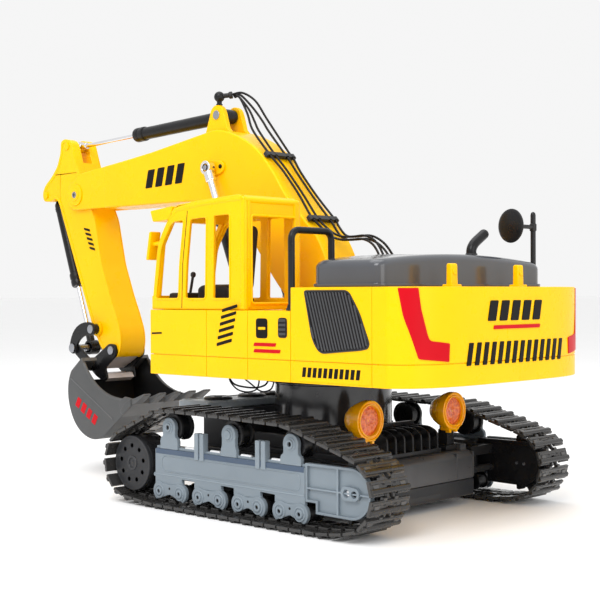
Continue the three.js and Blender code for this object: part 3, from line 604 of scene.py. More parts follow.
TRACK_Y, TRACK_WIDE, LINKS, BELT = 91, 36.5, 50, 5  # a belt's middle, width, shoes and thickness
WHEEL_X, WHEEL_Z, WRAP = 105, 28.6, 21  # the end wheels, and the belt's radius round them
CARRIERS = (("front", 65.5, 57), ("middle", 4, 56.4), ("rear", -54, 55))
FACE = 100.65  # the side frame's outer face
BOSSES = (74.9, 53.4, 33.4, 13.2, -6.3, -24.6, -45, -62.7)  # axles of the lower rollers
BOSS_Z = 11.4


def hull_of(points):
    """The convex outline round the points, counter-clockwise."""
    points = sorted(set(points))

    def half(chain_points):
        chain = []
        for p in chain_points:
            while len(chain) > 1:
                o, a = chain[-2], chain[-1]
                if (a[0] - o[0]) * (p[1] - o[1]) - (a[1] - o[1]) * (p[0] - o[0]) > 0:
                    break
                chain.pop()
            chain.append(p)
        return chain[:-1]

    return half(points) + half(points[::-1])


def belt_loop():
    """The inner face of a belt, stretched over the wheels and rollers."""
    circles = [(WHEEL_X, WHEEL_Z, WRAP), (-WHEEL_X, WHEEL_Z, WRAP), (BOSSES[0], BELT + 6.1, 6.1),
               (20 - WHEEL_X, BELT + 6.1, 6.1)] + [(x, z, 10.2) for _, x, z in CARRIERS]
    return hull_of([p for c in circles for p in circle(*c, 72)])


def along(loop, share):
    """The point and direction at a share of the loop's length."""
    lengths = [math.dist(loop[i], loop[(i + 1) % len(loop)]) for i in range(len(loop))]
    rest = (share % 1) * sum(lengths)
    for i, length in enumerate(lengths):
        if rest <= length:
            a, b = Vector(loop[i]), Vector(loop[(i + 1) % len(loop)])
            return a.lerp(b, rest / length), (b - a).normalized()
        rest -= length
    return Vector(loop[0]), Vector((1, 0))


def link_shapes(pitch):
    """One track shoe: u along the belt, y across it, w outward from its inner face."""
    half, p = TRACK_WIDE / 2, pitch  # along the belt every measure is a share of the pitch
    shapes = []
    for s in (-1, 1):
        y0, y1 = sorted((s * 6.6, s * half))
        shapes.append(block(0.05 * p, 0.93 * p, y0, y1, 1.3, 3.4, 0.5, 2))
        a, b = pair(s, 3.4, 6.9)
        shapes.append(block(-0.08 * p, 0.62 * p, a, b, 0.2, 3.3, 0.6, 2))
        shapes.append(block(0.3 * p, 1.06 * p, *pair(s, 1.8, 3.6), 0.4, 3.0, 0.5, 2))
    shapes.append(block(0.08 * p, 0.42 * p, -7, 7, 1.2, 3.3, 0.5, 2))
    ridge = [(0.47 * p, 3.0), (0.52 * p, 4.5), (0.58 * p, 5.0), (0.75 * p, 5.0), (0.81 * p, 4.5),
             (0.86 * p, 3.0)]
    shapes.append(slab([rounded(ridge, 0.9, 3)], -half, half, 0.5, 3))
    low = [(0.10 * p, 3.0), (0.13 * p, 3.9), (0.26 * p, 3.9), (0.30 * p, 3.0)]
    shapes.append(slab([rounded(low, 0.3, 2)], -half + 1.2, half - 1.2, 0.3))
    for y in (-12.6, 12.6):
        shapes.append(block(0.30 * p, 0.52 * p, y - 2.4, y + 2.4, 3.0, 4.0, 0.3, 1))
    return shapes


def track(piece):
    """One shoe after another round the belt's loop."""
    loop = belt_loop()
    total = sum(math.dist(loop[i], loop[(i + 1) % len(loop)]) for i in range(len(loop)))
    pitch = total / LINKS
    shapes = link_shapes(pitch)
    for i in range(LINKS):
        a, _ = along(loop, i / LINKS)
        b, _ = along(loop, (i + 1) / LINKS)
        d = (b - a).normalized()
        out = Vector((d.y, -d.x))
        # w points away from the inside of the counter-clockwise loop
        frame_of = Matrix(((d.x, 0, out.x, a.x), (0, 1, 0, TRACK_Y), (d.y, 0, out.y, a.y),
                           (0, 0, 0, 1)))
        for s in shapes:
            verts, faces = moved(s, frame_of)
            piece.add(verts, [f[::-1] for f in faces], TRACK)


both(track, "track", "chassis", "black_plastic", "track")


def idler(piece):
    x, z = WHEEL_X, WHEEL_Z
    spots = arc(x, z, 12.6, 8, 328, 8)  # nine, 40 degrees apart
    holes = [circle(*spot, 1.5, 14) for spot in spots]
    piece.add(*slab([circle(x, z, 19.9, 56), *holes], 99.2, 101.9, 0.5), CHARCOAL)
    piece.add(*turned((x, 82, z), (x, 99.5, z),
                      [(0, 3.6), (0, 20.2), (0.5, 20.5), (16, 20.5), (17.3, 19.5), (17.3, 3.6)],
                      48), BLACK)
    for cx, cz in spots:
        piece.add(*turned((cx, 99.3, cz), (cx, 101.2, cz),
                          [(0, 1.0), (1.2, 0.9), (1.5, 0.5), (1.6, 0)], 10), MARK)
    ring = [(0, 5.4), (0.6, 5.4), (0.9, 5.1), (0.9, 3.7), (0.5, 3.3), (0, 3.3)]
    piece.add(*turned((x, 101.6, z), (x, 103, z), ring, 28), CHARCOAL)
    piece.add(*turned((x, 99.8, z), (x, 103, z),
                      [(0, 0), (0, 2.6), (2.0, 2.6), (2.4, 2.0), (2.5, 0)], 18), CHARCOAL)
    rim = [(0, 19.6), (0.35, 19.5), (0.45, 19.0), (0.3, 18.4), (0, 18.2)]
    piece.add(*turned((x, 101.7, z), (x, 103, z), rim, 56), CHARCOAL)


for side, flip in (("left_", False), ("right_", True)):
    wheel = Piece(side + "idler_wheel", side + "idler", "charcoal_plastic", side + "idler")
    idler(wheel)
    (wheel.mirrored() if flip else wheel).make()

    drive = Piece(side + "sprocket_wheel", side + "sprocket", "black_plastic", side + "sprocket")
    rim = []
    for i in range(12):
        for turn, r in ((0, 17.4), (8, 17.4), (12, 20.3), (18, 20.3), (22, 17.4)):
            t = math.radians(i * 30 + turn)
            rim.append((-WHEEL_X + r * math.cos(t), WHEEL_Z + r * math.sin(t)))
    drive.add(*slab([rounded(rim, 0.5, 2), circle(-WHEEL_X, WHEEL_Z, 3.6, 20)], 87.8, 96, 0.4),
              BLACK)
    drive.add(*turned((-WHEEL_X, 86.9, WHEEL_Z), (-WHEEL_X, 96, WHEEL_Z),
                      [(0.9, 3.6), (0.9, 9), (0.4, 9), (0.4, 3.6)], 28), BLACK)
    (drive.mirrored() if flip else drive).make()

    for where, x, z in CARRIERS:
        name = side + where + "_carrier_roller"
        roller = Piece(name + "_wheel", name, "black_plastic", name)
        shape = [(0, 2.6), (0, 9.0), (0.5, 9.7), (2.6, 9.7), (3.2, 8.2), (9.4, 8.2), (10, 9.7),
                 (12.1, 9.7), (12.6, 9.2), (12.6, 7.4), (12.0, 7.0), (12.0, 2.6)]
        roller.add(*turned((x, 84.6, z), (x, 97.2, z), shape, 36), BLACK)
        (roller.mirrored() if flip else roller).make()


SKIN = FACE - 3  # the back of the side frame's outer plate


def frame_plate(piece):
    """The long plate with its stripe and panel line, and what stands behind it."""
    lower = [(80.5, 14.9, 0.6)]
    for i in (0, 2, 4, 6):
        a, b = BOSSES[i], BOSSES[i + 1]
        lower += [(b - 1.5, 16.9, 0.4), (b - 1.5, 21.6, 0.4)] if i < 6 else [(b + 1.5, 16.6, 0.4)]
        if i < 6:
            lower += [(BOSSES[i + 2] + 5.5, 21.2, 0.4), (BOSSES[i + 2] + 5.5, 16.7, 0.4)]
    outline = [(80.5, 41.4, 1.2)] + lower + [(-66.3, 16.6, 0.8), (-66.3, 41.4, 0.8)]
    piece.add(*slab([rounded(outline, 0.5, 2)], SKIN, FACE, 0.5), FRAME_GREY)
    piece.add(*slab([[(80.1, 41.2), (-66.1, 41.2), (-66.1, 43.2), (80.1, 43.2)]], SKIN - 2,
                    FACE - 1.3, 0.4), FRAME_GREY)
    for x in (45.4, 19.6, -10.6, -39.6):
        tab = rounded([(x + 5, 41.6, 0.3), (x + 5, 44.4, 2), (x - 5, 44.4, 2), (x - 5, 41.6, 0.3)],
                      1, 4)
        piece.add(*slab([tab], FACE - 3.6, FACE - 1.8, 0.4), TAB)
    strip = [(79.6, 37.9), (-65.8, 37.9), (-65.8, 41.5), (79.6, 41.5)]
    piece.add(*slab([strip], FACE - 1.6, FACE + 0.12, 0.1, 1), FRAME_BLUE)
    band = rounded([(73.5, 25.6, 5.6), (73.5, 37.2, 5.6), (-62.5, 37.2, 4), (-62.5, 25.6, 4)], 3, 7)
    inner = rounded([(72.7, 26.3, 5.1), (72.7, 36.5, 5.1), (-61.7, 36.5, 3.5), (-61.7, 26.3, 3.5)],
                    3, 7)
    piece.add(*slab([band, inner], FACE - 0.4, FACE + 0.35, 0.18, 1), FRAME_GREY)
    piece.add(*slab([[(79.9, 22.9), (-65.8, 22.9), (-65.8, 23.7), (79.9, 23.7)]], FACE - 0.4,
                    FACE + 0.3, 0.15, 1), FRAME_GREY)
    piece.add(*block(-66, 78, 82.4, SKIN + 0.2, 20.4, 41.8, 1.0), HULL)
    piece.add(*block(64, 110, 78, 81.2, 22, 35, 0.8), BLACK)
    piece.add(*block(64, 74, 77.8, 83, 22, 35, 0.8), BLACK)
    piece.add(*disc(WHEEL_X, WHEEL_Z, 3, 81, 100, 0.4, 16), BLACK)
    piece.add(*disc(81.6, 22.6, 1.5, FACE - 4, FACE - 0.6, 0.3, 14), FRAME_GREY)
    for x in (34, -34):
        piece.add(*block(x - 12, x + 12, 58.3, 83, 22, 37, 1.2), BLACK)


def carrier_posts(piece):
    """A post with a ringed boss beside each carrier roller."""
    for where, x, z in CARRIERS:
        top = arc(x, z, 6.9, -20, 200, 18)
        stem = top + [(x - 6.6, z - 6.2), (x - 8.6, z - 7.4), (x - 9.4, z - 9.6), (x - 9.2, 41.6),
                      (x + 9.2, 41.6), (x + 9.4, z - 9.6), (x + 8.6, z - 7.4), (x + 6.6, z - 6.2)]
        if where == "middle":
            stem = top + [(x - 6.6, z - 7.5), (x - 7.6, z - 10), (x - 7.6, 41.6), (x + 7.6, 41.6),
                          (x + 7.6, z - 10), (x + 6.6, z - 7.5)]
        piece.add(*slab([rounded(stem, 0.6, 2)], SKIN, FACE + 0.1, 0.45), FRAME_GREY)
        hole = 1.6 if where != "middle" else 0
        rings = [(0, 4.4), (0.5, 4.4), (0.8, 4.0), (0.8, 3.2), (1.5, 2.9), (1.5, hole + 0.2),
                 (1.2, hole)]
        rings += [(0.2, hole), (0.2, 0)] if hole else []
        piece.add(*turned((x, FACE - 0.1, z), (x, FACE + 2, z), rings, 24), FRAME_GREY)
        if hole:
            piece.add(*turned((x, FACE - 0.2, z), (x, FACE + 1.2, z),
                              [(0, 0), (0, 1.55), (0.5, 1.55), (0.5, 0)], 14), MARK)
        piece.add(*disc(x, z, 2.1, 84, SKIN + 0.2, 0.2, 14), BLACK)


def belt_guides(piece):
    for x in (33.1, -27):
        for s in (-1, 1):
            a, b = sorted((x + s * 0.7, x + s * 4.7))
            piece.add(*block(a, b, SKIN - 1, FACE + 1, 36.5, 55.1, 0.7), FRAME_GREY)
        piece.add(*block(x - 2, x + 2, SKIN - 1, SKIN + 0.8, 37, 53, 0.3), FRAME_GREY)


def lower_rollers(piece):
    """Pairs of rollers under a shared cover plate; they are moulded with the frame."""
    for i in (0, 2, 4, 6):
        a, b = BOSSES[i], BOSSES[i + 1]
        middle = (a + b) / 2
        plate = (arc(a, BOSS_Z, 7.0, -60, 120, 14) + [(middle, BOSS_Z + 5.4)]
                 + arc(b, BOSS_Z, 7.0, 60, 240, 14) + [(middle, BOSS_Z - 1.6)])
        piece.add(*slab([rounded(plate, 1.2, 3)], FACE - 2.2, FACE + 0.8, 0.5), FRAME_GREY)
        piece.add(*block(b - 2, a + 2, FACE - 2.6, FACE - 0.2, BOSS_Z + 3.6, 19, 0.5), FRAME_GREY)
        piece.add(*turned((middle, FACE + 0.7, BOSS_Z + 2.6), (middle, FACE + 1.6, BOSS_Z + 2.6),
                          [(0, 0), (0, 0.9), (0.15, 0.9), (0.15, 0)], 12), MARK)
        for x in (a, b):
            rings = [(0, 5.0), (0.5, 5.0), (0.8, 4.7), (0.8, 4.0), (0.45, 3.8), (0.45, 3.3),
                     (1.2, 3.0), (1.4, 2.7), (1.4, 1.5), (1.1, 1.3), (0.3, 1.3), (0.3, 0)]
            piece.add(*turned((x, FACE + 0.6, BOSS_Z), (x, FACE + 2.6, BOSS_Z), rings, 24),
                      FRAME_GREY)
            piece.add(*turned((x, FACE + 0.5, BOSS_Z), (x, FACE + 1.6, BOSS_Z),
                              [(0, 0), (0, 1.28), (0.6, 1.28), (0.6, 0)], 12), MARK)
            roll = [(0, 2), (0, 5.6), (0.4, 6.1), (2.8, 6.1), (3.2, 5.2), (10.2, 5.2), (10.6, 6.1),
                    (13, 6.1), (13.4, 5.6), (13.4, 2)]
            piece.add(*turned((x, 84.4, BOSS_Z), (x, 98, BOSS_Z), roll, 28), BLACK)


def side_frame(piece):
    for build in (frame_plate, carrier_posts, belt_guides, lower_rollers):
        build(piece)


both(side_frame, "side_frame_moulding", "chassis", "grey_blue_plastic", "side_frame")


def cover_outline(front=-66.9, inset=0.0):
    k = inset
    return ([(front - k, 44.2 - k), (front - k, 19.8 + k), (-75.8 - k, 19.8 + k),
             (-75.8 - k, 13.0 + k)] + arc(-WHEEL_X, WHEEL_Z, 15.9 - k, -90, -270, 26)
            + [(-WHEEL_X + 6, 44.5 - k)])


def gearbox_cover(piece):
    top = FACE + 0.1
    piece.add(*slab([cover_outline()], 96.4, top - 2.0, 0.5), FRAME_GREY)
    piece.add(*slab([cover_outline(), cover_outline(inset=1.7)], top - 2.4, top, 0.35), FRAME_GREY)
    piece.add(*block(-119.3, -68, top - 2.2, top - 0.2, WHEEL_Z - 0.55, WHEEL_Z + 0.55, 0.3),
              FRAME_GREY)
    piece.add(*block(-94.7, -93.2, top - 2.2, top - 0.1, 14, 43.4, 0.35), FRAME_GREY)
    eye = strap((-101.6, 28.7), 4.5, (-108.2, 28.6), 4.1, 12)
    cores = [circle(-101.9, 28.7, 2.5, 18), circle(-108.1, 28.6, 2.2, 18)]
    piece.add(*slab([eye, *cores], top - 2.4, top + 0.7, 0.35), FRAME_GREY)
    piece.add(*turned((-101.9, top - 2, 28.7), (-101.9, top, 28.7),
                      [(0, 0), (0, 2.3), (0.9, 2.3), (1.3, 1.4), (1.4, 0)], 16), CHROME)
    piece.add(*turned((-108.1, top - 2.2, 28.6), (-108.1, top, 28.6),
                      [(0, 0), (0, 2.1), (0.5, 2.1), (0.5, 0)], 14), MARK)


both(gearbox_cover, "gearbox_cover_moulding", "chassis", "grey_blue_plastic", "gearbox_cover")


def gearbox(piece):
    shape = cover_outline(-67.3)
    piece.add(*slab([shape], 83.9, 87.3, 0.6), BLACK)
    piece.add(*slab([cover_outline(-67.3, 2.2)], 83.4, 84.4, 0.4), BLACK)
    piece.add(*block(-82, -67.2, 85, 96.1, 21, 43, 0.8), BLACK)
    piece.add(*disc(-WHEEL_X, WHEEL_Z, 3, 85, 96.1, 0.4, 16), BLACK)
    piece.add(*turned((-79, 58.3, 24), (-79, 85, 24), [(0, 2.6), (25.6, 2.6)], 20), BLACK)
    piece.add(*block(-80.6, -72, 58.3, 85, 34, 41, 0.8), BLACK)
    for x, z in ((-101.9, 28.7), (-108, 28.6)):
        piece.add(*turned((x, 83.5, z), (x, 82.9, z), [(0, 0), (0, 1.2), (0.3, 1.2), (0.3, 0)], 12),
                  SCREW)


both(gearbox, "gearbox_moulding", "chassis", "black_plastic", "gearbox")


def tail_lamp(piece):
    x, y, z = -75, 46, 67
    bell = [(2.4, 10.6), (0.5, 10.9), (0, 11.4), (0, 12.2), (0.5, 12.6), (0.9, 12.7), (0.9, 13.4),
            (0.2, 13.7), (0, 14.2), (0.3, 14.9), (1.2, 15.1), (4.6, 15.1), (5.4, 14.8), (5.7, 14.0),
            (6.2, 13.8), (7.6, 13.9), (8.2, 13.4), (11, 12.4), (14.5, 10.4), (17.6, 7.6),
            (19.6, 4.4), (20.4, 1.6), (20.5, 0)]
    bell = [(h, 0.9 * r) for h, r in bell]
    piece.add(*turned((x, y, z), (x + 20, y, z), bell, 48), AMBER)
    glass = [(2.6, 0), (1.6, 2.7), (1.0, 5.4), (1.3, 7.7), (2.0, 9.6), (3.2, 9.6), (3.2, 0)]
    piece.add(*turned((x, y, z), (x + 20, y, z), glass, 40), LENS)
    for s in (-1, 1):
        piece.add(*block(x + 1.2, x + 5, y + s * 3.6 - 1.2, y + s * 3.6 + 1.2, 51.6, 54.4, 0.5),
                  AMBER)
    piece.add(*block(x + 1, x + 9, y - 6, y + 6, 53.2, 56, 0.8), AMBER)
    piece.add(*block(x + 3.6, x + 12.4, y - 4, y + 4, 39.3, 54, 1.0), BLACK)
    piece.add(*block(x + 0.8, x + 15, y - 9, y + 9, 39.3, 43, 1.0), BLACK)


both(tail_lamp, "tail_lamp_unit", "chassis", "amber_lens", "tail_lamp")


def fins_piece():
    piece = Piece("cooling_fin_block", "chassis", "black_plastic", "cooling_fins")
    piece.add(*block(-74.4, -46, -31, 31, 39.3, 42.4, 0.8), BLACK)
    for i in range(7):
        y = (i - 3) * 9.2
        rib = [(-47, 41.4, 0.4), (-47, 57.6, 0.8), (-66, 57.6, 7), (-73.6, 54, 6), (-74, 41.4, 0.4)]
        piece.add(*slab([rounded(rib, 0.6, 5)], y - 0.9, y + 0.9, 0.4), BLACK)
    piece.add(*block(-50, -46.4, -30.6, 30.6, 41, 60, 0.8), BLACK)
    piece.make()


fins_piece()


def hull_piece():
    piece = Piece("chassis_body", "chassis", "charcoal_plastic", "chassis_hull")
    side = [(-82.8, 19.4, 0.5), (-82.8, 35.5, 2), (-78.5, 39.2, 2), (84, 39.2, 3), (92, 31, 3),
            (92, 15, 3), (82, 7, 3), (-21.9, 7, 0.5), (-21.9, 19.4, 0.5)]
    piece.add(*slab([rounded(side, 1, 3)], -58, 58, 1.4, 3), HULL)
    piece.add(*block(52, 86, -50, 50, 38, 67.7, 1.5), HULL)
    for y in (-57.2, -38, 38, 57.2):
        piece.add(*block(-83, -74, y - 0.8, y + 0.8, 20, 38, 0.4), HULL)
    for s in (-1, 1):
        piece.add(*block(-78, 50, s * 52 - 3.4, s * 52 + 3.4, 38, 43.4, 1), HULL)
        piece.add(*block(-44, 44, s * 46 - 3, s * 46 + 3, 38, 52, 1), HULL)
    piece.make()
    door = Piece("battery_door", "chassis", "charcoal_plastic", "battery_cover")
    plate = [(-82.8, 7, 2.4), (-82.8, 19, 0.6), (-22.3, 19, 0.4), (-22.3, 7, 0.6)]
    door.add(*slab([rounded(plate, 0.6, 4)], -58, 58, 1.2, 3), CHARCOAL)
    door.add(*block(-83.0, -80, -18, 18, 9.4, 12.4, 0.6), CHARCOAL)
    for s in (-1, 1):
        door.add(*turned((-74, s * 49, 6.6), (-74, s * 49, 7.4), [(0, 0), (0, 2.4), (0.5, 2.4)],
                         18), SCREW)
    door.make()


hull_piece()


def deck_piece():
    piece = Piece("front_deck_plate", "chassis", "grey_blue_plastic", "front_deck")
    plan = [(56, -72, 1), (91, -72, 6), (91, 72, 6), (56, 72, 1)]
    piece.add(*prism([rounded(plan, 2, 5)], 68, 73, 0.7), DECK)
    piece.add(*prism([rounded([(58, -70), (89, -70), (89, 70), (58, 70)], 4, 4),
                      rounded([(59.4, -68.6), (87.6, -68.6), (87.6, 68.6), (59.4, 68.6)], 3.4, 4)],
                     72.6, 73.5, 0.2, 1), DECK)
    for y in (46, 11.5, -11.5, -46):
        centre = (73.5, y, 72.9)
        shape = [(0, 10.6), (1.4, 10.6), (2.2, 9.8), (2.4, 8.4), (2.0, 8.0), (2.0, 3.2), (2.6, 2.8),
                 (2.6, 0)]
        piece.add(*turned(centre, (73.5, y, 75), shape, 36), BLACK)
    piece.make()


deck_piece()


def slew_piece():
    piece = Piece("slew_drum", "chassis", "black_plastic", "slew_base")
    shape = [(0, 40), (14, 40), (15, 43), (17, 43.6), (19, 43.2), (19.6, 42.4), (47, 42.4),
             (47.6, 42.9), (48.7, 42.9), (48.7, 0)]
    piece.add(*turned((0, 0, 39.3), (0, 0, 88), shape, 72), DRUM)
    piece.make()


slew_piece()


# ---- house -------------------------------------------------------------------------------

LOW, SILL, HIGH = 94.3, 140.0, 155.0  # underside, deck and top of the house
SEAM = 108.4  # the joint between the skirt and the panels
SIDE_Y = 100.4  # the house's sides
CORNER_X = -122.15  # where the tail piece begins
ROUND_X, BOW_X = -132, -157.4  # where the tail starts to curve, and its rearmost point


def tail_curve(inset=0.0, steps=40):
    """The rear outline in plan from the left corner to the right one, drawn in by inset."""
    y, bow = SIDE_Y - inset, BOW_X + inset
    xs, ys = (ROUND_X, bow, bow, bow), (y, y - 9, 55, 0)
    points = []
    for i in range(steps // 2 + 1):
        t = i / (steps // 2)
        q = [(1 - t) ** 3, 3 * t * (1 - t) ** 2, 3 * t * t * (1 - t), t**3]
        points.append((sum(a * b for a, b in zip(q, xs)), sum(a * b for a, b in zip(q, ys))))
    return points + [(x, -v) for x, v in points[-2::-1]]


REAR = tail_curve()


def rear_x(y):
    """How far back the tail's surface is at y."""
    for (x0, y0), (x1, y1) in zip(REAR, REAR[1:]):
        if y1 <= y <= y0:
            return x0 + (x1 - x0) * (y0 - y) / max(1e-6, y0 - y1)
    return REAR[0][0]


def rear_piece(piece, outline, material, thick=0.5, sunk=0.25):
    """A flat mark or bar drawn in y and z, laid over the curved tail."""
    verts, faces = wall([outline], -thick / 2, thick / 2, min(0.12, thick * 0.3), 1)
    bm = bmesh.new()
    made = [bm.verts.new(v) for v in verts]
    for f in faces:
        try:
            bm.faces.new([made[i] for i in f])
        except ValueError:
            pass
    ys = [v.y for v in verts]
    cut = min(ys) + 3
    while cut < max(ys):
        bmesh.ops.bisect_plane(bm, geom=bm.verts[:] + bm.edges[:] + bm.faces[:],
                               plane_co=(0, cut, 0), plane_no=(0, 1, 0), dist=0.001)
        cut += 3
    for v in bm.verts:
        on_tail = abs(v.co.y) < SIDE_Y - 0.2
        v.co.x += rear_x(v.co.y) + sunk - thick / 2 if on_tail else ROUND_X - 0.2
    bm.verts.index_update()
    piece.add(*from_bmesh(bm), material)


def house_shell():
    piece = Piece("house_body", "house", "yellow_body", "house_shell")
    y = SIDE_Y
    core = y - 0.9
    plan_low = [(85.2, 34.2, 1), (85.2, core, 4), (CORNER_X, core, 0.3), (CORNER_X, -core, 0.3),
                (85.2, -core, 4), (85.2, -34.2, 1), (-33.8, -34.2, 1), (-33.8, 34.2, 1)]
    piece.add(*prism([rounded(plan_low, 1, 4)], LOW + 0.3, SILL - 0.4, 0.5), YELLOW)
    piece.add(*prism([rounded([(-58, core, 1), (CORNER_X, core, 0.3), (CORNER_X, -core, 0.3),
                               (-58, -core, 1)], 1, 3)], SILL - 4, HIGH - 0.1, 0.9, 3), YELLOW)
    piece.add(*prism([rounded([(85.4, -34.2, 2), (-9, -34.2, 2), (-9, -core, 2), (85.4, -core, 5)],
                              2, 4)], SILL - 4, HIGH - 0.1, 1.6, 3), YELLOW)
    piece.add(*block(-33.8, 85, -34.2, 34.2, 100.0, 101.0, 0.2), YELLOW)
    seams = (85.8, 25.9, -14.6, -54.1, CORNER_X)
    for x1, x0 in zip(seams, seams[1:]):
        for s in (1, -1):
            upper = HIGH if x1 < -50 or (s < 0 and x1 > -14 and x0 > -14) else SILL
            for z0, z1 in ((LOW, SEAM - 0.2), (SEAM + 0.2, upper)):
                a, b = sorted((s * (y - 2.4), s * y))
                piece.add(*block(x0 + 0.18, x1 - 0.18, a, b, z0, z1, 0.45, 2), YELLOW)
    piece.add(*block(-58.2, -54.6, 0.8 - y, y - 0.8, SILL - 0.5, HIGH - 0.2, 0.6), YELLOW)
    for s in (1, -1):
        a, b = sorted((s * 34.3, s * (y - 0.2)))
        piece.add(*block(83, 85.8, a, b, LOW + 0.2, SEAM - 0.2, 0.8), YELLOW)
        piece.add(*block(83, 85.8, a, b, SEAM + 0.2, SILL if s > 0 else HIGH, 0.8), YELLOW)
        face = s * y
        plate = [(-56.5, 95.4, 0.8), (-121.6, 95.4, 0.6), (-121.6, 107.4, 0.6), (-56.5, 107.4, 0.8)]
        piece.add(*slab([rounded(plate, 0.8, 3)], *sorted((face - s * 0.6, face + s * 0.35)), 0.25,
                        1), YELLOW)
    # raised lip where the cab stands, and the deck behind it
    piece.add(*block(-57, -9.4, 37, 99.2, SILL - 0.8, SILL + 0.1, 0.3), YELLOW)
    for k in range(4):
        piece.add(*block(-52 + 10.5 * k, -44.4 + 10.5 * k, 44, 50, SILL, SILL + 0.6, 0.25, 1),
                  YELLOW)
    piece.make()


house_shell()


def side_marks(piece):
    y = SIDE_Y
    low, high = y - 0.1, y + 0.32
    for k in range(6):
        x, z = 8.0, 115.6 + 4.6 * k
        bar = [(x + 7.4 - 1.1 * k, z), (x - 7.6 - 1.1 * k, z + 3.4), (x - 7.6 - 1.1 * k, z + 5.6),
               (x + 7.4 - 1.1 * k, z + 2.2)]
        piece.add(*slab([rounded(bar, 0.7, 2)], low, high, 0.12, 1), MARK)
    piece.add(*slab([[(84, 122.4), (73, 122.9), (73, 124.2), (84, 123.7)]], low, high - 0.1, 0.1,
                    1), MARK)
    # plain marks
    lozenge = [(-22.8, 122), (-33.4, 122), (-33.4, 135), (-22.8, 135)]
    bar = [(-24.6, 127.6), (-31.6, 127.6), (-31.6, 129.4), (-24.6, 129.4)]
    piece.add(*slab([rounded(lozenge, 2.2, 4), rounded(bar, 0.5, 2)], low, high, 0.1, 1), MARK)
    for z, x1 in ((116.8, -40.6), (112.6, -44.6)):
        piece.add(*slab([rounded([(-20.4, z), (x1, z), (x1 - 0.8, z + 2.3), (-21.2, z + 2.3)], 0.4,
                                 2)], low, high, 0.1, 1), RED)
    for k in range(11):
        x = -64.5 - 4.5 * k
        bar = [(x, 98.4), (x - 3, 98.4), (x - 3.9, 104.6), (x - 0.9, 104.6)]
        piece.add(*slab([bar], low + 0.2, y + 0.55, 0.1, 1), MARK)
    socket = rounded([(-43.2, 122.6), (-51.2, 122.6), (-51.2, 135.6), (-43.2, 135.6)], 2.4, 5)
    piece.add(*slab([socket], y - 0.8, y + 0.5, 0.3), BLACK)
    for k in range(4):
        piece.add(*block(-50.2, -44.2, y + 0.1, y + 0.9, 124.4 + 2.9 * k, 125.9 + 2.9 * k, 0.3),
                  GRILLE)


marks = Piece("left_side_marks", "house", "black_plastic")
side_marks(marks)
marks.make()


def grille(piece):
    y = SIDE_Y
    rim = [(-66.0, 153.2, 2.5), (-103.5, 153.2, 4), (-112.6, 139.5, 4), (-120.6, 120.6, 5),
           (-119.2, 117.6, 3), (-114, 116.4, 4), (-79.5, 113.2, 5), (-73, 122, 6)]
    inner = [(-67.3, 152.2, 2.0), (-102.9, 152.2, 3.6), (-111.5, 139.2, 4), (-119.2, 120.8, 4.4),
             (-118.2, 118.6, 2.6), (-113.8, 117.5, 4), (-80.2, 114.4, 4.4), (-74.2, 122.6, 6)]
    piece.add(*slab([rounded(rim, 2, 5), rounded(inner, 2, 5)], y - 0.6, y + 0.55, 0.3), CHARCOAL)
    piece.add(*slab([rounded(inner, 2, 5)], y - 0.6, y + 0.12, 0.1, 1), MARK)
    shape = rounded(inner, 2, 5)
    slant, pitch, half = 0.30, 2.5, 0.62  # the ribs' lean, spacing and half width

    def crossings(k):
        """Where a rib leaning with the grille's front edge enters and leaves it."""
        hits = []
        for (x0, z0), (x1, z1) in zip(shape, shape[1:] + shape[:1]):
            f0, f1 = x0 - (z0 - 115) * slant - k, x1 - (z1 - 115) * slant - k
            if f0 * f1 < 0:
                t = f0 / (f0 - f1)
                hits.append((x0 + t * (x1 - x0), z0 + t * (z1 - z0)))
        return sorted(hits, key=lambda p: p[1])

    k = -132.0
    while k < -66:
        hits = crossings(k)
        if len(hits) >= 2 and hits[-1][1] - hits[0][1] > 2:
            a, b = hits[0], hits[-1]
            rib = [(a[0] - half, a[1] + 0.3), (a[0] + half, a[1] + 0.3), (b[0] + half, b[1] - 0.3),
                   (b[0] - half, b[1] - 0.3)]
            piece.add(*slab([rib], y - 0.2, y + 0.75, 0.3, 2), GRILLE)
        k += pitch


both(grille, "grille", "house", "black_plastic")


def counterweight():
    piece = Piece("tail_weight", "house", "yellow_body", "counterweight")
    for z0, z1, ins in ((LOW, SEAM - 0.2, 0.0), (SEAM - 0.6, SEAM + 0.6, 0.8),
                        (SEAM + 0.2, HIGH, 0.0)):
        rear = tail_curve(ins, 64)
        outline = [(CORNER_X - 0.15, SIDE_Y - ins)] + rear + [(CORNER_X - 0.15, -SIDE_Y + ins)]
        piece.add(*prism([outline], z0, z1, 0.5 if ins == 0 else 0.1, 3), YELLOW)
    for y in (37, -37):
        lug = [(-132.2, HIGH - 1, 0.3), (-132.4, 169.8, 1.6), (-136.4, 169.8, 1.6),
               (-136.8, HIGH - 1, 0.3)]
        piece.add(*slab([rounded(lug, 1, 4)], y - 3.4, y + 3.4, 0.8, 3), YELLOW)
        piece.add(*block(-138.4, -130.6, y - 5, y + 5, HIGH - 0.6, HIGH + 1.6, 0.6), YELLOW)
        piece.add(*turned((-139, y, 164.6), (-130, y, 164.6),
                          [(1.9, 0), (1.9, 1.9), (2.3, 2.1), (7, 2.1), (7.4, 1.9), (7.4, 0)], 20),
                  YELLOW)
    piece.make()


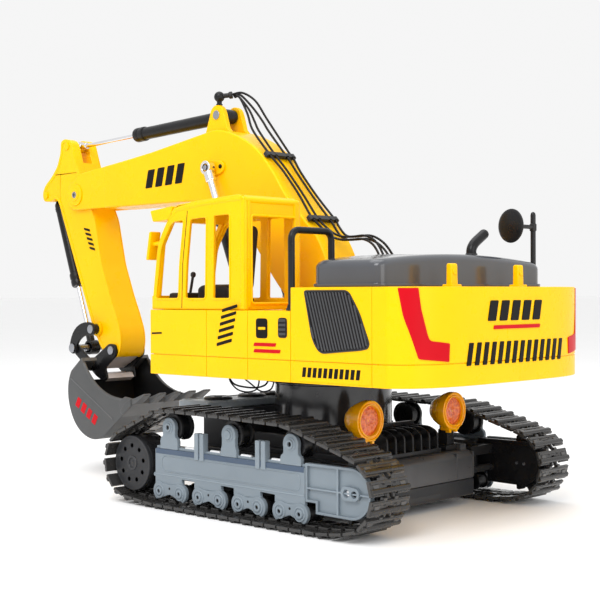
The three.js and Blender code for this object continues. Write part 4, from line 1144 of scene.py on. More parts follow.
def tail_marks():
    """A row of slanted bars, and plain blocks where the original carries a name."""
    marks = Piece("tail_marks", "house", "black_plastic")
    for k in range(14):
        y = 49.2 - 7.85 * k
        bar = [(y, 120.6), (y - 4.1, 120.6), (y - 1.3, 106.6), (y + 2.8, 106.6)]
        rear_piece(marks, rounded(bar, 0.5, 2), MARK, 0.7, 0.1)
    for k in range(5):
        y = 31 - 12.4 * k
        bar = [(y, 133.6), (y - 8.4, 133.6), (y - 11.4, 146.4), (y - 3, 146.4)]
        rear_piece(marks, rounded(bar, 0.8, 2), MARK, 0.7, 0.1)
    rear_piece(marks, rounded([(25, 128.4), (-27, 128.4), (-27.6, 130.8), (24.4, 130.8)], 0.5, 2),
               RED, 0.7, 0.1)
    marks.make()


def tail_chevron():
    """Red corner pieces, and the small red block on the right."""
    chevron = Piece("tail_chevron", "house", "yellow_body")
    left = [(96.8, 154.2, 0.3), (87.8, 154.2, 0.3), (86.2, 141, 3), (82.6, 126.6, 2),
            (81.2, 122.6, 2), (66.6, 120.8, 0.8), (67.2, 109.6, 0.8), (87.6, 111.8, 1.2),
            (94.8, 137, 4)]
    rear_piece(chevron, rounded(left, 1.2, 3), RED, 0.8, 0.1)
    rear_piece(chevron, rounded([(-y, z, *r) for y, z, *r in left][::-1], 1.2, 3), RED, 0.8, 0.1)
    rear_piece(chevron, rounded([(-93, 121), (-97.5, 121), (-97.5, 127), (-93, 127)], 1, 2), RED,
               1.4, 0.1)
    chevron.make()


counterweight()
tail_marks()
tail_chevron()


def crowned_pad(x0, x1, y0, y1, corner, z0, crown, fillet):
    """Upright sides, a rounded shoulder and a crowned top; crown(x, y) is the top's height."""
    rings, inner = 6, 10  # rings over the shoulder, and from there to the middle
    outline = rounded([(x0, y0), (x1, y0), (x1, y1), (x0, y1)], corner, 8)
    dense = []
    for a, b in zip(outline, outline[1:] + outline[:1]):
        n = max(1, int(math.dist(a, b) // 5))
        dense += [tuple(Vector(a).lerp(Vector(b), k / n)) for k in range(n)]
    cx, cy = (x0 + x1) / 2, (y0 + y1) / 2
    hx, hy = (x1 - x0) / 2, (y1 - y0) / 2

    def ring(inset, height):
        kx, ky = (hx - inset) / hx, (hy - inset) / hy
        return [(cx + (x - cx) * kx, cy + (y - cy) * ky,
                 height(cx + (x - cx) * kx, cy + (y - cy) * ky)) for x, y in dense]

    levels = [ring(0, lambda x, y: z0), ring(0, lambda x, y: (z0 + crown(x, y) - fillet) / 2)]
    for k in range(rings + 1):
        t = math.pi / 2 * k / rings
        levels.append(ring(fillet * (1 - math.cos(t)), lambda x,
                           y: crown(x, y) - fillet * (1 - math.sin(t))))
    for k in range(1, inner):
        part = k / inner
        levels.append(ring(fillet + (min(hx, hy) - fillet) * part, crown))
    verts, faces, n = [v for level in levels for v in level], [], len(dense)
    for i in range(len(levels) - 1):
        for k in range(n):
            m = (k + 1) % n
            faces.append([i * n + k, i * n + m, (i + 1) * n + m, (i + 1) * n + k])
    faces.append([(len(levels) - 1) * n + k for k in range(n)])
    faces.append([k for k in range(n)][::-1])
    return verts, faces


def cover_top(x, y):
    """The engine cover's crown: highest in the middle, a little lower at the rear."""
    return 171.6 + 6.2 * (1 - (y / 91) ** 2) * (0.8 + 0.2 * (x + 120) / 58)


def engine_cover():
    piece = Piece("engine_hood", "house", "cover_grey", "engine_cover", smooth=60)
    piece.add(*crowned_pad(-119.4, -62.6, -90, 90, 9, 155.3, cover_top, 4.5), COVER)
    piece.make()
    seam = Piece("engine_hood_skirt", "house", "cover_grey")
    ring = rounded([(-120.6, -91.2), (-61.6, -91.2), (-61.6, 91.2), (-120.6, 91.2)], 9, 8)
    seam.add(*prism([ring], 155.1, 157.4, 0.6), COVER)
    seam.make()


engine_cover()


def bead(loop, y):
    """A thin raised edge round a window."""
    return tube([(x, y, z) for x, z in loop], 0.75, 8, True)


CAB_FLOOR = 140.2


def cab_sides(piece):
    """Two side plates with three windows each, and the door's seam."""
    side = [(-9, CAB_FLOOR, 0.6), (87, CAB_FLOOR, 1.5), (86.2, 146, 4), (80.2, 187.5, 8),
            (69, 204, 9), (60, 213, 5), (-5, 216.6, 3), (-9, 214, 3)]
    front = [(57.2, 147.5, 3), (82.6, 147.5, 3), (76.6, 185, 5), (64.6, 202.4, 5),
             (51.3, 203.2, 2.5), (56.0, 172, 9)]
    middle = [(28.9, 147.5, 3), (50.8, 147.5, 3), (49.4, 172, 9), (45.0, 203.6, 3),
              (27.8, 204.2, 3)]
    back = [(4.6, 147.5, 2), (21.9, 147.5, 2), (20.8, 204.8, 2), (4.6, 205.2, 2)]
    holes = [rounded(w, 3, 5) for w in (front, middle, back)]
    outline = rounded(side, 2, 5)
    for y0, y1 in ((95.2, 98), (43.6, 46.4)):
        piece.add(*slab([outline, *holes], y0, y1, 0.7, 3), YELLOW)
    for hole in holes:
        piece.add(*bead(hole, 97.9), YELLOW)
        piece.add(*bead(hole, 43.7), YELLOW)
    for x0, z0, x1, z1 in ((54.0, 141, 52.8, 172), (52.8, 172, 47.6, 209)):
        verts, faces = tube([(x0, 98.0, z0), (x1, 98.0, z1)], 0.28, 6)
        piece.add(verts, faces, MARK)


def cab_roof(piece):
    roof = [(-9, 214.4, 2), (-5, 217.4, 2), (60, 213.8, 5), (70.6, 203.4, 2), (67.6, 201.4, 2),
            (58.4, 210.6, 4), (-8, 213.6, 1)]
    piece.add(*slab([rounded(roof, 1, 4)], 43.4, 98.2, 0.8, 3), YELLOW)
    piece.add(*slab([rounded([(3, 216.4), (54, 213.8), (53, 216.0), (4, 218.4)], 1.4, 3)], 50, 91.6,
                    0.8), YELLOW)
    visor = [(66, 203.6, 1), (85.6, 202.8, 1), (88.6, 210.8, 1.2), (64, 213.2, 1)]
    piece.add(*slab([rounded(visor, 1.4, 4)], 45, 98.1, 0.8), YELLOW)


def cab_rear(piece):
    """The rear wall with its window, the corner posts and the roof's edges."""
    rear = [(44.4, CAB_FLOOR, 1), (97.2, CAB_FLOOR, 1), (97.2, 215, 4), (44.4, 215, 4)]
    window = [(48.5, 144.5, 3), (91, 144.5, 3), (91, 203.6, 2), (48.5, 203.6, 2)]
    piece.add(*wall([rounded(rear, 2, 5), rounded(window, 4, 6)], -8.6, -6, 0.7, 3), YELLOW)
    rim = rounded(window, 4, 6)
    piece.add(*tube([(-9.0, y, z) for y, z in rim], 0.9, 8, True), YELLOW)
    for y in (95.6, 46):
        piece.add(*turned((-6.8, y, CAB_FLOOR), (-6.8, y, 214.6),
                          [(0, 0), (0, 2.1), (0.6, 2.7), (72, 2.7), (73.6, 1.6), (74, 0)], 24),
                  YELLOW)
        piece.add(*block(-9.6, -7.6,
                         *sorted((y - math.copysign(1.2, y - 70), y - math.copysign(3.8, y - 70))),
                         142, 213, 0.7), YELLOW)
    piece.add(*turned((-7, 45, 213.6), (-7, 96.6, 213.6),
                      [(0, 0), (0, 1.8), (1, 2.4), (50.6, 2.4), (51.6, 1.8), (51.6, 0)], 20),
              YELLOW)
    for y in (96.4, 45.2):
        edge = [(-6.6, y, 214.8), (28, y, 213.4), (58, y, 210.6), (63.5, y, 206.6)]
        piece.add(*tube(smooth_line(edge, 6), 2.3, 16), YELLOW)


def cab_front(piece):
    """Front posts, the low front wall, the floor and the rain board."""
    for y0, y1 in ((93.2, 97.2), (44.4, 48.4)):
        post = [(86.6, CAB_FLOOR), (80.0, 187.4), (69.0, 203.6), (65.8, 202), (76.4, 186.2),
                (82.6, CAB_FLOOR)]
        piece.add(*slab([rounded(post, 0.8, 3)], y0, y1, 0.7), YELLOW)
    piece.add(*block(84, 86.9, 43.8, 97.8, CAB_FLOOR, 150, 0.8), YELLOW)
    piece.add(*block(-8, 85, 44, 97.6, CAB_FLOOR, 142.6, 0.4), YELLOW)
    board = [(91.0, 175.6, 1.2), (94.0, 175.6, 1.2), (90.2, 196, 1.2), (87.2, 196, 1.2)]
    piece.add(*slab([rounded(board, 1, 3)], 88.6, 97.8, 0.9), YELLOW)
    piece.add(*tube([(79.5, 94, 187), (84, 94, 187.4), (89.6, 94, 187)], 1.6, 10), YELLOW)


def cab_inside():
    """The seat and the console, seen only as dark shapes."""
    inside = Piece("cab_inside", "house", "black_plastic", "cab_seat", smooth=50)
    cushion = crowned_pad(17, 52, 62, 87, 5, 147, lambda x,
                          y: 156.5 + 1.2 * (1 - ((y - 74.5) / 13) ** 2), 3.5)
    inside.add(*cushion, SEAT)
    back_rest = crowned_pad(150, 196, 61.5, 80.5, 6, -3, lambda x,
                            y: 4.6 + 1.4 * (1 - ((y - 71) / 10) ** 2), 3)
    lean = Matrix.Rotation(math.radians(-7), 4, "Y")
    verts = [lean @ Vector((v[2] * 0.7 + 12.5, v[1], v[0] - 150)) + Vector((5.5, 4.0, 151))
             for v in back_rest[0]]
    inside.add(verts, [f[::-1] for f in back_rest[1]], SEAT)
    inside.add(*block(18, 40, 62, 80, 142.7, 148, 1.2), SEAT)
    inside.add(*block(62, 80, 56, 88, 142.6, 152, 2), SEAT)
    for y in (62, 80):
        inside.add(*tube([(66, y, 150), (64, y, 158), (62.6, y, 164)], 1.0, 10), SEAT)
        inside.add(*turned((62.6, y, 163), (62, y, 167),
                           [(0, 0), (0, 1.2), (1, 1.9), (2.6, 1.9), (3.6, 1.2), (4, 0)], 14), SEAT)
    inside.make()


def cab():
    piece = Piece("cab_shell", "house", "yellow_body", "cab")
    for build in (cab_sides, cab_roof, cab_rear, cab_front):
        build(piece)
    piece.make()
    cab_inside()


cab()


def handrail():
    piece = Piece("handrail_tube", "house", "black_plastic", "handrail", smooth=60)
    x, y0, y1, top = -52, 97, 59, 192
    knee = [(y0 - 6 * (1 - math.cos(t)), top - 6 * (1 - math.sin(t)))
            for t in [math.pi / 2 * k / 6 for k in range(7)]]
    line = [(x, y0, 140.4), (x, y0, 165)] + [(x, y, z) for y, z in knee]
    line += [(x, y0 + y1 - y, z) for y, z in knee[::-1]] + [(x, y1, 165), (x, y1, 140.4)]
    piece.add(*tube(line, 2.25, 18), BLACK)
    for y in (y0, y1):
        piece.add(*turned((x, y, 140.3), (x, y, 145),
                          [(0, 0), (0, 3.6), (1.2, 3.6), (1.8, 3.0), (3.6, 2.6), (4.4, 2.0)], 20),
                  BLACK)
    piece.make()


handrail()


def mirror_and_exhaust():
    piece = Piece("tail_mirror_arm", "house", "black_plastic", "tail_mirror", smooth=60)
    x, y = -112, -90
    piece.add(*turned((x, y, 155.6), (x, y, 209),
                      [(0, 0), (0, 1.9), (51, 1.9), (52.6, 1.5), (53.2, 0.6), (53.4, 0)], 18),
              BLACK)
    piece.add(*turned((x, y, 195), (x, y, 201), [(0, 1.9), (0.6, 2.5), (5.0, 2.5), (5.6, 1.9)], 18),
              BLACK)
    piece.add(*tube([(x, y + 1, 198), (x, y + 12, 198), (x, y + 24, 198)], 1.5, 14), BLACK)
    dish = [(0, 0), (0, 3.2), (0.8, 3.6), (1.3, 9.6), (1.6, 11.4), (2.1, 12.0), (2.7, 11.8),
            (3.2, 9.8), (3.7, 6.6), (4.0, 3.2), (4.1, 0)]
    piece.add(*turned((x, y + 25.2, 198), (x + 0.7, y + 29.2, 198), dish, 48), BLACK)
    piece.make()
    pipe = Piece("exhaust_pipe", "house", "black_plastic", "exhaust", smooth=60)
    line = smooth_line([(-104, -26, 176.4), (-104, -26, 180), (-104, -27.4, 182.8),
                        (-104, -31, 186.0), (-104, -41, 191.8)], 7)
    pipe.add(*tube(line, 3.5, 24), BLACK)
    tip = Vector((0, -10, 5.8)).normalized()
    end = Vector((-104, -41, 191.8))
    pipe.add(*turned(end - tip * 0.4, end + tip * 3,
                     [(0, 0), (0, 3.4), (1.4, 3.2), (2.6, 2.2), (3, 0)], 24), BLACK)
    pipe.add(*turned((-104, -26, 176.2), (-104, -26, 180),
                     [(0, 0), (0, 4.2), (1.4, 4.2), (2.2, 3.6)], 24), BLACK)
    pipe.make()


mirror_and_exhaust()


def turntable_and_bracket():
    piece = Piece("turntable_ring", "house", "black_plastic", "turntable")
    piece.add(*turned((0, 0, 88.3), (0, 0, 96),
                      [(0, 0), (0, 49.4), (0.8, 50), (2.2, 50), (2.8, 49.2), (4.6, 49.2), (5, 49.8),
                       (6.4, 49.8), (7.4, 49)], 72), BLACK)
    piece.add(*block(-112, 80, -94, 94, 94.5, 97, 0.6), HULL)
    for s in (1, -1):
        piece.add(*block(-108, 76, *pair(s, 80, 92), 93.6, 95, 0.4), HULL)
    piece.make()
    seat = Piece("boom_foot_bracket", "house", "charcoal_plastic", "boom_bracket")
    seat.add(*block(-16, 62, -29, 29, 97.3, 100.4, 0.8), HULL)
    foot = rounded([(-14, 97.6, 1), (34, 97.6, 1), (20, 140, 6), (16, 152, 6), (-6, 152, 6),
                    (-14, 142, 5)], 2, 5)
    for y0, y1 in ((17.3, 20.3), (-20.3, -17.3)):
        seat.add(*slab([foot], y0, y1, 0.6), HULL)
        seat.add(*turned((5, (y0 + y1) / 2, 140), (5, (y0 + y1) / 2 + math.copysign(2.2, y0), 140),
                         [(0, 0), (0, 5.4), (1.6, 5.4), (2.1, 4.8), (2.2, 0)], 24), SCREW)
    seat.add(*disc(5, 140, 4, -19, 19, 0.3, 24), SCREW)
    for s in (1, -1):
        y0, y1 = pair(s, 18.9, 21.1)
        seat.add(*slab([strap((52, 112), 5, (52, 104), 6)], y0, y1, 0.4), HULL)
        seat.add(*disc(52, 112, 2, *pair(s, 21, 27.7), 0.3, 18), SCREW)
        seat.add(*block(44, 60, *pair(s, 18.6, 21.4), 97.4, 102, 0.5), HULL)
    seat.make()


turntable_and_bracket()


# ---- boom, stick and bucket --------------------------------------------------------------

ELBOW, FOOT, EAR, LIFT_PIN = (289.6, 238.4), (5, 140), (112, 291), (108.2, 248.5)
FORK_REACH, FORK_X = 41.5, 249.2  # the fork's reach from the elbow, and the solid boom's end


def quad(a, c, b, steps=10):
    """A curve from a to b pulled towards c, without its first point."""
    return [tuple((1 - t) ** 2 * a[i] + 2 * t * (1 - t) * c[i] + t * t * b[i] for i in (0, 1))
            for t in [k / steps for k in range(1, steps + 1)]]


def boom_outline():
    line = [(22, 140)] + quad((22, 140), (38, 153), (53.4, 173.4)) + [(62, 184.6), (70, 195)]
    line += quad((70, 195), (91, 223), (130, 224.3), 14) + [(170, 224.6), (230, 224.9), (286, 225)]
    line += arc(*ELBOW, 13.4, -90, 75, 16) + [(284, 257), (257, 259.8), (222, 263.4), (187, 267.4),
                                              (150, 272.8), (119, 277.4)]
    back = [(119, 277.4), (104, 278.4), (82, 271.5), (61, 259), (45.5, 242.6), (30, 222),
            (10.4, 202.5), (-3, 187), (-11, 167), (-12, 140)]
    line += smooth_line(back, 6)[1:]
    return line + arc(*FOOT, 17, 180, 360, 18)[1:-1]


def boom_body():
    """The solid box, the fork round the elbow, and the ears of the arm cylinder."""
    piece = Piece("boom_body", "boom", "yellow_body", "boom", smooth=32)
    outline = boom_outline()
    first = next(i for i, p in enumerate(outline) if math.dist(p, ELBOW) <= FORK_REACH)
    low, high = outline[:first], outline[first:]
    high = [p for p in high if math.dist(p, ELBOW) > FORK_REACH]
    core = low + [(249.0, 224.9), (249.0, 260.6)] + high
    core = [p for p in core if p[0] < FORK_X]
    hole = circle(*FOOT, 4.6, 24)
    piece.add(*slab([core, hole], -17, 17, 1.5, 4), YELLOW)
    cheek = outline_inset([(240, 225)] + [p for p in outline if p[0] > 240] + [(240, 261.4)], 0.2)
    bore = circle(*ELBOW, 4.6, 28)
    for y0, y1 in ((13.9, 16.75), (-16.75, -13.9)):
        piece.add(*slab([cheek, bore], y0, y1, 0.9, 3), YELLOW)
    for s in (1, -1):
        piece.add(*slab([strap(LIFT_PIN, 6.6, (101, 249), 5)], *pair(s, 16, 19), 0.8, 3), YELLOW)
        piece.add(*disc(*ELBOW, 9.4, s * 16.5, s * 17.9, 0.5, 36), YELLOW)
        piece.add(*disc(*FOOT, 9, s * 16.0, s * 17.2, 0.4, 32), YELLOW)
    for s in (1, -1):
        y0, y1 = pair(s, 7, 11.5)
        ear = [(132, 272), (125, 278), (119.6, 292.6)] + arc(*EAR, 8, 15, 165, 10) + [(103.8, 292),
                (100, 280), (92, 272)]
        piece.add(*slab([ear, circle(*EAR, 2.3, 16)], y0, y1, 0.8, 3), YELLOW)
    piece.make()


def boom_pins():
    pins = Piece("boom_pins", "boom", "chrome_rod", "elbow_pin", smooth=50)
    pins.add(*disc(*ELBOW, 3.8, -18.0, 18.0, 0.5, 28), SCREW)
    for s in (1, -1):
        pins.add(*disc(*ELBOW, 5.6, s * 17.2, s * 18.6, 0.5, 28), YELLOW)
        pins.add(*disc(99.6, 249.4, 1.7, s * 18.7, s * 19.7, 0.3, 18), MARK)
        head, slot_shades = screw(ELBOW[0], ELBOW[1], s * 19.2, s, 3.0)
        pins.add(*head, SCREW)
        # the screw's slots in near-black: painted shade of the cross recess
        for bar in slot_shades:
            pins.add(*bar, MARK)
        pins.add(*disc(*LIFT_PIN, 2, s * 18, s * 27.8, 0.3, 18), SCREW)
        pins.add(*disc(*LIFT_PIN, 3.6, s * 18.8, s * 20.2, 0.3, 24), YELLOW)
        pins.add(*disc(*EAR, 3.6, s * 11.3, s * 12.3, 0.3, 24), SCREW)
    pins.make()


def boom_marks():
    """Four plain slanted blocks where the original carries a name."""
    mark = Piece("boom_marks", "boom", "black_plastic")
    for s in (1, -1):
        y0, y1 = pair(s, 16.9, 17.3)
        for k in range(4):
            x = 193 - 12.4 * k
            bar = [(x, 238 + 0.5 * k), (x - 8.6, 238.4 + 0.5 * k), (x - 12.4, 253.4 + 0.8 * k),
                   (x - 3.8, 253 + 0.8 * k)]
            mark.add(*slab([rounded(bar, 1, 3)], y0, y1, 0.12, 1), MARK)
    mark.make()


boom_body()
boom_pins()
boom_marks()


def hose_fittings():
    piece = Piece("hose_guide_post", "boom", "black_plastic", "hose_guide", smooth=60)
    piece.add(*turned((111, 9.25, 298.8), (111, 9.25, 303),
                      [(0, 0), (0, 2.6), (0.7, 2.6), (1.0, 2.0), (4.4, 2.0)], 20), BLACK)
    ball = [(0, 0)] + [(4.2 - 4.2 * math.cos(t), 4.2 * math.sin(t))
                       for t in [math.pi * k / 14 for k in range(1, 14)]] + [(8.4, 0)]
    piece.add(*turned((111, 9.25, 301.1), (111, 9.25, 309.5), ball, 28), BLACK)
    piece.add(*tube([(111, 9.25, 305.3), (107, 7, 306), (102.6, 4.1, 306.4)], 1.9, 16), BLACK)
    piece.add(*turned((104.2, 5.2, 306.1), (101.9, 3.6, 306.5),
                      [(0, 0), (0, 2.5), (0.4, 2.8), (2.4, 2.8), (2.8, 2.4), (2.8, 0)], 20), BLACK)
    piece.make()
    for name, node, (x, z, lean) in (("upper_hose_bar", "upper_hose_clamp", UPPER_CLAMP),
                                     ("lower_hose_bar", "lower_hose_clamp", LOWER_CLAMP)):
        bar = Piece(name, "boom", "black_plastic", node)
        turn = Matrix.Translation((x, 0, z)) @ Matrix.Rotation(-lean, 4, "Y")
        edges = [(-15.5, 0.8)]
        for y in LANES:
            edges += [(y - 1.3, 3.9), (y - 1.3, 1.8), (y + 1.3, 1.8), (y + 1.3, 3.9)]
        profile = [(-15.5, 0.8), (-15.5, 3.2), (-14.6, 4.0)] + edges[1:] + [(14.6, 4.0),
                (15.5, 3.2), (15.5, 0.8)]
        verts, faces = wall([profile], -2.2, 2.2, 0.35, 2)
        bar.add(*moved((verts, faces), turn), BLACK)
        for y in LANES:
            hoop = [(y + 1.75 * math.cos(t), 2.6 + 1.75 * math.sin(t))
                    for t in [math.pi * k / 10 for k in range(11)]]
            hoop += [(y + 1.05 * math.cos(t), 2.6 + 1.05 * math.sin(t))
                     for t in [math.pi * k / 10 for k in range(10, -1, -1)]]
            bar.add(*moved(wall([hoop], -1.5, 1.5, 0.12, 1), turn), BLACK)
        bar.make()


hose_fittings()

STICK_OUTLINE = [(236, 97), (248, 97), (258, 104), (270, 121.7), (274.6, 132.3), (295.2, 178),
                 (312.9, 217.6), (319, 232), (324, 238), (334, 235), (343, 235.6), (345, 243),
                 (341, 249.8), (330.2, 257.5), (322, 266), (317, 277.8), (316.4, 288), (310, 290),
                 (301, 287), (292, 262.6), (267, 216), (257.4, 177), (246, 150), (238, 134),
                 (232.4, 121), (231, 112.5), (232, 104)]
HEAD_PIN, LUG_PIN, TIP = (307, 283), (339.5, 241), (241, 103)
ROCKER, KNUCKLE, LINK_PIN = (263, 121), (289, 104), (267.5, 89)


def stick():
    piece = Piece("stick_body", "stick", "yellow_body", "stick", smooth=32)
    line = rounded(STICK_OUTLINE, 4, 4)
    middle = clip(clip(line, lambda p: -p[1], -268.0), lambda p: -p[0], -325.5)
    hole = circle(*ELBOW, 4.4, 24)
    piece.add(*slab([outline_inset(middle, 0.1), hole], -13.0, 13.0, 1.4, 4), YELLOW)
    head = clip(line, lambda p: p[1], 258)
    lug = clip(clip(line, lambda p: p[0], 317), lambda p: -p[1], -262)
    for s in (1, -1):
        piece.add(*slab([rounded(head, 0.5, 2), circle(*HEAD_PIN, 1.9, 16)], *pair(s, 4.6, 13.15),
                        1.0, 3), YELLOW)
        piece.add(*slab([rounded(lug, 0.5, 2), circle(*LUG_PIN, 2.2, 16)], *pair(s, 6.0, 13.1), 1.0,
                        3), YELLOW)
        rim = outline_inset(line, 3.0)
        y0, y1 = pair(s, 12.8, 13.5)
        piece.add(*slab([line, rim], y0, y1, 0.28, 2), YELLOW)
        piece.add(*disc(*ROCKER, 6.4, s * 13, s * 15.2, 0.5, 28), YELLOW)
        piece.add(*disc(*TIP, 6.6, s * 12.8, s * 13.5, 0.2, 28), YELLOW)
    piece.add(*disc(*HEAD_PIN, 1.7, -13.4, 13.4, 0.2, 18), SCREW)
    piece.add(*disc(*LUG_PIN, 2, -13.4, 13.4, 0.2, 18), SCREW)
    for s in (1, -1):
        for (x, z), r in ((HEAD_PIN, 3.2), (LUG_PIN, 3.2)):
            piece.add(*disc(x, z, r, s * 13, s * 14.4, 0.3, 22), YELLOW)
    piece.make()


def stick_marks():
    """Five plain slanted bars where the original carries a sign."""
    mark = Piece("stick_marks", "stick", "black_plastic")
    for s in (1, -1):
        for k in range(5):
            x, z = 270.5 + 4.2 * k * 0.43, 190 + 4.2 * k
            bar = [(x - 4, z - 1), (x + 3.6 + k * 0.2, z + 0.6), (x + 4.6 + k * 0.2, z + 2.8),
                   (x - 3, z + 1.2)]
            mark.add(*slab([rounded(bar, 0.5, 2)], *pair(s, 13.1, 13.42), 0.1, 1), MARK)
    mark.make()


stick()
stick_marks()


def rocker_plates():
    """Two curved plates from the stick to the knuckle."""
    rocker = Piece("rocker_plates", "rocker", "charcoal_plastic", "rocker")
    plate = arc(*ROCKER, 5.4, 108, 288, 14)
    plate += quad(plate[-1], (280, 116), (285, 103))[:-1] + arc(*KNUCKLE, 5, 180, 378, 16)
    plate += quad(plate[-1], (289, 129), (262, 127))[:-1]
    for s in (1, -1):
        y0, y1 = pair(s, 19.1, 21.4)
        rocker.add(*slab([plate, circle(*KNUCKLE, 3.4, 18)], y0, y1, 0.5), BLACK)
        rocker.add(*disc(*ROCKER, 3.8, s * 21, s * 22.2, 0.4, 24), SCREW)
        rocker.add(*disc(*ROCKER, 4.4, s * 15.0, s * 19.4, 0.3, 24), BLACK)
    rocker.add(*disc(*ROCKER, 3, -20, 20, 0.2, 20), SCREW)
    rocker.make()


def link_plates():
    """Two straight links from the knuckle to the bucket's ears."""
    link_piece = Piece("link_plates", "bucket_link", "charcoal_plastic", "bucket_link")
    for s in (1, -1):
        y0, y1 = pair(s, 16.5, 18.7)
        link_piece.add(*slab([strap(KNUCKLE, 4.4, LINK_PIN, 4.4), circle(*LINK_PIN, 2.8, 16)], y0,
                             y1, 0.5), BLACK)
        link_piece.add(*disc(*KNUCKLE, 4.0, s * 21.8, s * 22.8, 0.4, 24), SCREW)
    link_piece.add(*disc(*KNUCKLE, 3, -22, 22, 0.2, 20), SCREW)
    link_piece.make()


def bucket_ears():
    """The ears that hold the bucket on the stick's tip and on the links."""
    hinge = Piece("bucket_ear_plates", "bucket", "grey_blue_plastic", "bucket_hinge")
    ear = [(236, 108), (244, 109), (264, 97), (272.6, 93), (272, 87), (262, 80), (252, 76),
           (247, 79), (250, 88), (236, 98), (235, 103)]
    for s in (1, -1):
        y0, y1 = pair(s, 13.9, 16.1)
        hinge.add(*slab([rounded(ear, 2.5, 4), circle(*TIP, 2.2, 14), circle(*LINK_PIN, 2.0, 14)],
                        y0, y1, 0.5), BLACK)
        hinge.add(*disc(*TIP, 3.8, s * 15.9, s * 17.4, 0.4, 24), SCREW)
        hinge.add(*disc(*LINK_PIN, 3.0, s * 18.6, s * 19.8, 0.3, 20), SCREW)
    web = [(247, 79), (252, 76), (262, 80), (264, 83), (250, 83)]
    hinge.add(*slab([web], -13.8, 13.8, 0.4), PALE)
    hinge.add(*slab([rounded([(236, 100), (244, 103), (264, 90), (262, 86), (250, 92)], 1, 3)],
                    -13.6, 13.6, 0.4), PALE)
    hinge.add(*disc(*TIP, 2.1, -16.5, 16.5, 0.2, 18), SCREW)
    hinge.add(*disc(*LINK_PIN, 1.9, -19, 19, 0.2, 18), SCREW)
    hinge.make()


rocker_plates()
link_plates()
bucket_ears()


def inner_skin(inner):
    """A thin sheet that follows the bucket's inner wall; it carries the painted shade of the
    bucket's inside.
    """
    return inner + [(x + (0.35 if x < 240 else -0.35), z + 0.4) for x, z in inner[::-1]]


def bucket():
    piece = Piece("bucket_body", "bucket", "charcoal_plastic", "bucket", smooth=34)
    outer = [(186, 62.5), (198, 53.5), (211, 43.8), (224, 34)] + quad((224, 34), (236, 26),
            (250, 31))
    outer += quad((250, 31), (270, 38), (275, 62), 14) + quad((275, 62), (277, 76),
            (270.4, 85.8)) + [(256, 97)]
    inner = [(187.6, 65.2), (201, 55.4), (225, 37)] + quad((225, 37), (236, 29.4), (249, 33.6))
    inner += quad((249, 33.6), (268, 40.6), (272.4, 62), 14) + quad((272.4, 62), (274, 75),
            (268.2, 84)) + [(254.6, 94.4)]
    skin = outer + inner[::-1]
    cut_slot = clip(skin, lambda p: -p[1], -76.5)
    piece.add(*slab([cut_slot], -35.4, 35.4, 0.5, 2), BUCKET)
    top = clip(skin, lambda p: p[1], 75.5)
    for s in (1, -1):
        piece.add(*slab([top], *pair(s, 20.2, 35.4), 0.5, 2), BUCKET)
    mouth = quad((256, 97), (238, 64.5), (200, 64.2), 14) + [(186, 65.6)]
    side = outer + mouth
    for s in (1, -1):
        piece.add(*slab([side], *pair(s, 34.0, 36.4), 0.6, 3), BUCKET)
        rim = mouth[:-1]
        line = [(p[0] + 0.2, s * 35.2, p[1]) for p in rim]
        piece.add(*tube(line, 1.3, 10), BUCKET)
        corner = [(186, 62.5), (186, 66), (197, 67.4), (205, 63), (202, 52)]
        piece.add(*slab([rounded(corner, 1, 3)], *pair(s, 35.0, 36.5), 0.4), BUCKET)
    piece.add(*slab([[(185.6, 61.8), (185.6, 66), (192, 62), (204, 52.8), (201.5, 50.4)]], -36.0,
                    36.0, 0.5), BUCKET)
    for k in range(5):
        y = (k - 2) * 16.2
        tooth = [(190.6, 59.6), (190.6, 65.4), (183.5, 67.2), (173.4, 70.8), (172.2, 69.6),
                 (184, 61.6)]
        piece.add(*slab([rounded(tooth, 0.8, 3)], y - 4, y + 4, 0.9, 3), BUCKET)
        piece.add(*slab([rounded([(188, 60.6), (188.4, 66.4), (198, 61.6), (203, 54.6),
                                  (199.6, 52)], 1, 3)], y - 4.8, y + 4.8, 0.7), BUCKET)
    for y in (-24, 0, 24):
        wear = quad((214, 40.6), (232, 26.4), (250, 30.2), 10) + quad((250, 30.2), (268, 36.4),
                (274, 54), 10)
        back = [(x + 0.5, z + 1.6) for x, z in wear][::-1]
        piece.add(*slab([wear + back], y - 1.3, y + 1.3, 0.3, 1), BUCKET)
    piece.make()
    # the bucket's inside covered with a near-black sheet: painted shade in the hollow
    dark = Piece("bucket_inside_shade_sheet", "bucket", "charcoal_plastic", smooth=34)
    for s in (1, -1):
        cheek_in = inner + quad((254.6, 94.4), (238, 66.0), (201, 65.4), 14)
        dark.add(*slab([cheek_in], *pair(s, 33.4, 34.1), 0.1, 1), BUCKET_INSIDE_SHADE)
    dark.add(*slab([clip(inner_skin(inner), lambda p: -p[1], -76.5)], -34, 34, 0.1, 1), BUCKET_INSIDE_SHADE)
    dark.make()


def bucket_marks():
    """Four plain red blocks where the original carries a name, and the line moulded above them."""
    mark = Piece("bucket_marks", "bucket", "charcoal_plastic")
    for k in range(4):
        x, z = 260 - 7.5 * k, 58.8 - 4.25 * k
        bar = [(x - 0.3, z - 5.1), (x + 4.6, z - 2.3), (x + 0.3, z + 5.1), (x - 4.6, z + 2.3)]
        mark.add(*slab([rounded(bar, 0.6, 2)], 36.1, 36.62, 0.1, 1), RED)
    mark.add(*tube([(270.6, 36.3, 79), (242, 36.3, 63.5), (212.8, 36.3, 47.8)], 0.6, 8), BUCKET)
    mark.make()


bucket()
bucket_marks()


